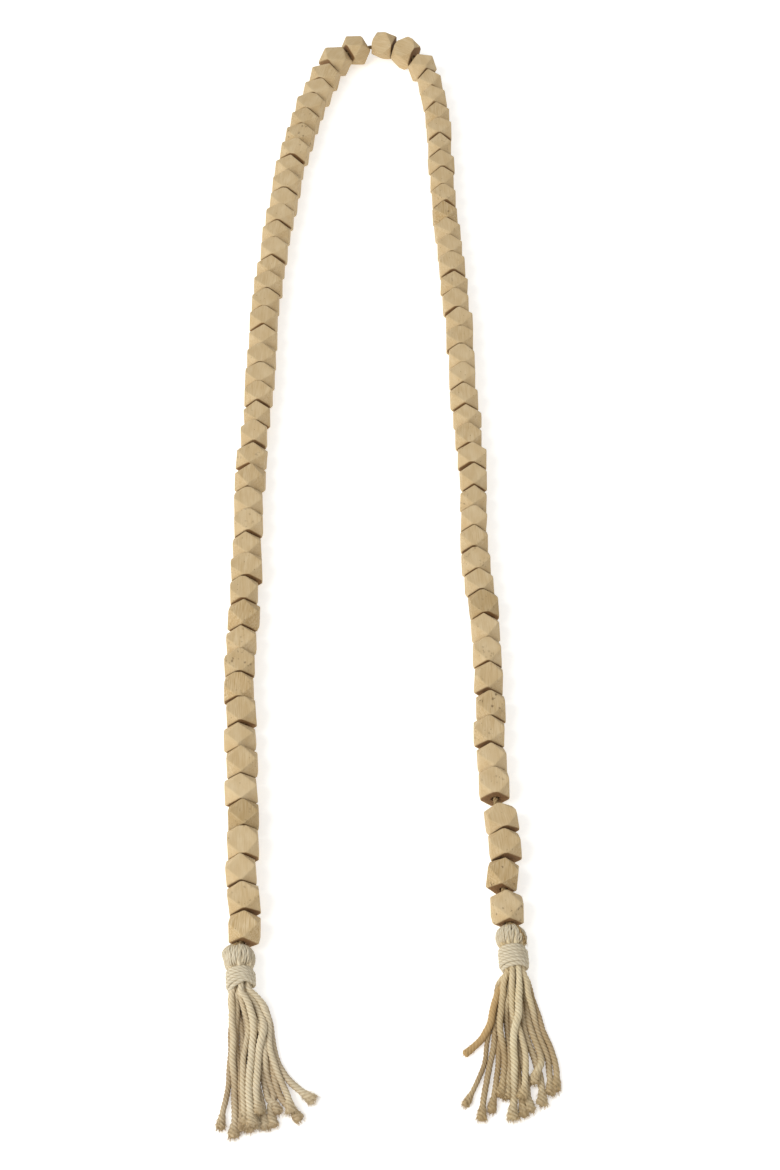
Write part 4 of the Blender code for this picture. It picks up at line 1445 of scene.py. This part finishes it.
    def strand_lines(self) -> list[Line]:
        """Every strand from the top of the head to its cut end."""
        rules = self.rules
        places = self.ring_places()
        paths = np.array([self.strand_path(row, *places[i]) for i, row in enumerate(self.strands)])
        radii = np.array([
            [rules.strand_radius(-point[1], row[-2]) for point in path]
            for row, path in zip(self.strands, paths)
        ])
        paths = self.settle(paths, radii)
        lines = []
        for i, (path, sizes) in enumerate(zip(paths, radii)):
            angle, share = places[i]
            line = []
            for part, width, height in rules.head_rings:
                radius = float(np.interp(part, *zip(*rules.folded_radii))) * MM
                reach = (share * (size * MM - radius) for size in (width, height))
                line.append((self.head_point(part, *reach, angle), radius))
            line += [
                (self.stray(Vector(point), i, float(size)), float(size) + rules.merge / 2)
                for point, size in zip(path, sizes) if -point[1] > self.head + MM
            ]
            lines.append(self.place(line))
        return lines

    def stray(self, point: Vector, strand: int, radius: float) -> Vector:
        """Moves a strand's point a little aside, as a strand that was once knotted lies.

        Args:
            point: the point in the tassel's own frame.
            strand: the strand's row.
            radius: its radius there.

        Returns:
            The moved point.
        """
        rules = self.rules
        down = -point.y
        below = down - self.bound()
        share = min(max((below - rules.stray_start) / rules.stray_rise, 0.0), 1.0)
        aside = noise.noise(Vector((down / rules.wave, 2.7 * strand, self.seed)))
        up = noise.noise(Vector((down / rules.wave, 2.7 * strand, self.seed + 31)))
        moved = point + Vector((aside, 0, 0.5 * up)) * rules.waviness * share
        part = min(max(below / rules.swell_length, 0.0), 1.0)
        swell = rules.swell * math.sin(math.pi * math.sqrt(part))
        moved.x += swell * (point.x - self.aside(down))
        moved.z = max(moved.z + 0.5 * swell * (point.z - rules.axis_height), radius)
        return moved

    def binding_line(self) -> Line:
        """The binding cord, wound round the strands from the top down."""
        rules = self.rules
        strand = rules.strand_radius(self.bound()) + rules.merge
        cord = 0.5 * self.binding / self.turns * rules.packing
        squash = (rules.ring_height + strand) / (rules.ring_width + strand)
        radius = rules.ring_width + strand + rules.clearance + cord - rules.press
        steps = rules.turn_points * self.turns
        top, more = rules.slants
        line = []
        for i in range(steps + 1):
            turn = i / rules.turn_points
            share = i / steps
            angle = math.tau * turn - math.pi / 2
            free = min(1.0, min(share, 1 - share) / rules.tuck_share)
            reach = radius - (1 - free) * rules.tuck
            x = reach * math.cos(angle)
            z = reach * math.sin(angle) * squash + rules.axis_height
            wander = rules.wander * noise.noise(Vector((turn * 1.7, self.seed, 0)))
            down = self.head + rules.clearance + cord + (self.binding - 2 * cord) * share + wander
            slant = self.slant * (top + more * share * share)
            rise = slant * (min(x, rules.highest) - rules.fall * max(x - rules.highest, 0.0))
            line.append((Vector((x + self.aside(down), rise - down, z)), cord))
        return self.place(line)

    def tail_line(self) -> Line:
        """The string's own end, which lies over the head and goes under the binding."""
        radius = self.rules.tail_radius
        shares, widths, heights = zip(*self.rules.head_rings)
        line = []
        for part, degrees in self.tail:
            angle = math.radians(degrees)
            width = float(np.interp(part, shares, widths)) * MM
            height = float(np.interp(part, shares, heights)) * MM + 0.5 * radius
            x = width * math.cos(angle) + self.aside(part * self.head)
            z = height * math.sin(angle) + self.rules.axis_height
            line.append((Vector((x, -part * self.head, z)), radius))
        return self.place(line)

    def build(self, strand: Material, binding: Material, string: Material, stained: Material) -> None:
        """Twists the strands, winds the binding and lays the string's own end over the head.

        Args:
            strand: the strands' cotton.
            binding: the binding's cotton, and the head's.
            string: the string's cotton.
            stained: a stained strand's cotton.
        """
        lines = self.strand_lines()
        clean = [line for i, line in enumerate(lines) if i not in self.stained]
        marked = [lines[i] for i in self.stained]
        # piece, its lines, their shape and finish, the CAD node it replaces
        for part, drawn, shape, finish, node in (
            ("tassel_strand", clean, STRAND, strand, "strands"),
            ("tassel_binding", [self.binding_line()], BINDING, binding, "binding"),
            ("string_end", [self.tail_line()], TAIL, string, None),
            ("head_fold", self.fold_lines(), FOLD, binding, None),
            ("stained_strand", marked, STAINED_STRAND, stained, None),
        ):
            if not drawn:
                continue
            piece = self.twister.twist(f"{self.name}_{part}_piece", drawn, shape, finish)
            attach(piece, "root")
            if node:
                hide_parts(f"tassel_{self.name}_{node}")
            self.pieces.append(piece)


LEFT_STRANDS = (
    (-2.1, -0.9, 1.3, 0.4, 91, 1.05, 1), (-2.3, -2.1, -3.6, -6.0, 87, 0.85, 0),
    (-0.6, 1.1, 3.1, 4.3, 88, 0.95, 0), (5.0, 3.7, 4.2, 5.6, 86, 0.9, 1),
    (8.8, 6.6, 6.8, 7.5, 87, 1.15, 2), (13.2, 9.8, 9.2, 9.9, 82, 1.1, 1),
    (13.5, 15.8, 20.3, 36.0, 74, 1.05, 0), (10.7, 12.3, 13.8, 19.1, 80, 1.0, 0),
    (12.4, 14.6, 18.9, 30.0, 83, 1.0, 0), (13.5, 16.1, 20.3, 26.9, 80, 0.95, 1),
    (6.3, 8.0, 10.8, 14.8, 87, 0.95, 0), (4.0, 5.7, 7.6, 11.1, 87, 0.9, 0),
    (10.3, 12.2, 16.2, 18.4, 86, 1.0, 0), (1.1, 2.3, 4.7, 7.7, 88, 0.95, 0),
)
RIGHT_STRANDS = (
    (-8.7, -11.4, -14.4, -22.6, 86, 0.72, 0), (-6.4, -8.5, -11.1, -22.7, 62, 1.05, 1),
    (-6.6, -8.7, -12.8, -14.8, 93, 0.9, 0), (-5.3, -5.8, -3.1, -7.0, 82, 1.0, 1),
    (-4.3, -5.9, -7.0, -10.8, 89, 0.85, 0), (-3.3, -2.3, -1.6, -2.8, 83, 0.9, 1),
    (0.1, 3.6, 5.7, 3.1, 84, 0.95, 1), (3.1, 0.7, -0.6, -0.5, 93, 1.15, 2),
    (7.5, 9.0, 13.6, 10.0, 76, 1.05, 1), (10.3, 14.3, 19.5, 19.2, 79, 0.95, 0),
    (8.7, 12.1, 17.0, 16.1, 81, 0.95, 1), (5.6, 6.4, 12.1, 12.4, 86, 1.0, 0),
    (1.8, 3.7, 5.4, 7.4, 89, 0.95, 0), (0.0, 0.2, 2.3, 3.9, 91, 0.9, 0),
)
LEFT_TAIL = ((0.0, 75), (0.06, 100), (0.14, 112))
RIGHT_TAIL = ((-0.08, 88), (0.04, 70), (0.16, 52), (0.35, 55), (0.55, 50), (0.8, 38), (1.05, 30))


@dataclass
class Studio:
    """The pale floor, the soft light and the camera."""

    focal_px: float = 2000.0
    long_side_px: float = 1170.0
    sensor: float = 36.0
    nearest: float = 0.01
    eye: tuple[float, float, float] = (0.00414, -0.68577, 0.886)
    look_down: float = math.radians(35.0)
    half_floor: float = 6.0
    floor_drop: float = 0.1 * MM
    floor_colour: str = "#F4F4F3"
    floor_roughness: float = 0.95
    floor_glow: float = 0.5
    world_colour: str = "#FFFFFF"
    world_strength: float = 0.6
    lamp_place: tuple[float, float, float] = (-1.24, -0.70, 1.40)
    lamp_size: float = 1.5
    lamp_power: float = 27.0
    lamp_colour: str = "#FFFEFA"

    def build(self) -> None:
        """Sets the floor, the light and the camera up."""
        self.floor()
        self.lighting()
        self.camera()

    def floor(self) -> None:
        """A plain pale floor just under the garland, lit a little from below as a light table is."""
        sides = ((-1, -1), (1, -1), (1, 1), (-1, 1))
        corners = [(x * self.half_floor, y * self.half_floor, -self.floor_drop) for x, y in sides]
        mesh = bpy.data.meshes.new("floor")
        mesh.from_pydata(corners, [], [(0, 1, 2, 3)])
        paper = bpy.data.materials.new("matt_paper_floor")
        paper.use_nodes = True
        shader = paper.node_tree.nodes["Principled BSDF"]
        for name, value in (
            ("Base Color", linear(self.floor_colour)), ("Roughness", self.floor_roughness),
            ("Specular IOR Level", 0.0), ("Emission Color", linear(self.floor_colour)),
            ("Emission Strength", self.floor_glow),
        ):
            feed(shader.inputs[name], value)
        mesh.materials.append(paper)
        add_object("floor", mesh)

    def lighting(self) -> None:
        """A large soft light from the front left, and a white room."""
        lamp = bpy.data.lights.new("key", "AREA")
        lamp.shape = "DISK"
        lamp.size = self.lamp_size
        lamp.energy = self.lamp_power
        lamp.color = linear(self.lamp_colour)[:3]
        obj = add_object("key", lamp)
        obj.location = self.lamp_place
        obj.rotation_euler = (-Vector(self.lamp_place)).to_track_quat("-Z", "Y").to_euler()
        world = bpy.data.worlds.new("white_room")
        world.use_nodes = True
        background = world.node_tree.nodes["Background"]
        feed(background.inputs["Color"], linear(self.world_colour))
        feed(background.inputs["Strength"], self.world_strength)
        bpy.context.scene.world = world
        bpy.context.scene.view_settings.view_transform = "Standard"

    def camera(self) -> None:
        """The camera at the photograph's viewing angle."""
        lens = bpy.data.cameras.new("camera")
        lens.sensor_width = self.sensor
        lens.lens = self.focal_px / self.long_side_px * self.sensor
        lens.clip_start = self.nearest
        obj = add_object("camera", lens)
        obj.location = self.eye
        obj.rotation_euler = (self.look_down, 0, 0)
        bpy.context.scene.camera = obj


def report(pieces: list[Object]) -> None:
    """Logs each piece with its number of triangles.

    Args:
        pieces: a sub-assembly's pieces.
    """
    for piece in pieces:
        triangles = sum(len(face.vertices) - 2 for face in piece.data.polygons)
        LOG.info("%s: %d triangles", piece.name, triangles)


def main() -> None:
    """Builds the garland and its studio."""
    logging.basicConfig(level=logging.INFO, format="%(name)s %(message)s", stream=sys.stdout)
    Studio().build()
    route = StringLayout().route()
    twister = CordTwister()
    # a cotton's groove colour is the painted shade in the creases between its plies
    string_cotton = TwistedCotton(
        name="string_cotton", crest="#AE9670", pale="#C3AF8A", groove="#6B5030"
    ).build()
    string = StringingCord(route, twister)
    string.build(string_cotton)
    report(string.pieces)
    rules = BeadRules()
    row = BeadRow(string_beads(route, rules), rules)
    row.build()
    row.dress(CutBasswood())
    report(row.pieces)
    pale_cotton = TwistedCotton(
        name="pale_strand_cotton", crest="#E4D9BB", pale="#F1E9D4", tan_share=0.4
    ).build()
    tan_cotton = TwistedCotton(name="tan_strand_cotton").build()
    # how much painted shade lies low in a tassel is set for each cotton
    binding_cotton = TwistedCotton(
        name="binding_cotton", crest="#DCD2B7", pale="#EAE3D0", tan_share=0.1, depth_share=0.2
    ).build()
    stained_cotton = TwistedCotton(
        name="stained_cotton", crest="#CDAB78", pale="#D9BE92", groove="#8A6538", depth_share=0.2
    ).build()
    left = Tassel(
        name="left", end=route.points[0], head=11.0 * MM, binding=10.4 * MM, turns=5, slant=0.16,
        middle=-0.9 * MM, lean=0.1, shoulder=0.35, strands=LEFT_STRANDS, tail=LEFT_TAIL,
        stained=(), twister=twister,
    )
    right = Tassel(
        name="right", end=route.points[-1], head=9.6 * MM, binding=13.0 * MM, turns=6, slant=0.03,
        middle=0.6 * MM, lean=0.065, shoulder=0.0, strands=RIGHT_STRANDS, tail=RIGHT_TAIL,
        stained=(1,), twister=twister,
    )
    for tassel, strand_cotton in ((left, pale_cotton), (right, tan_cotton)):
        tassel.build(strand_cotton, binding_cotton, string_cotton, stained_cotton)
        report(tassel.pieces)


if __name__ == "__main__":
    main()
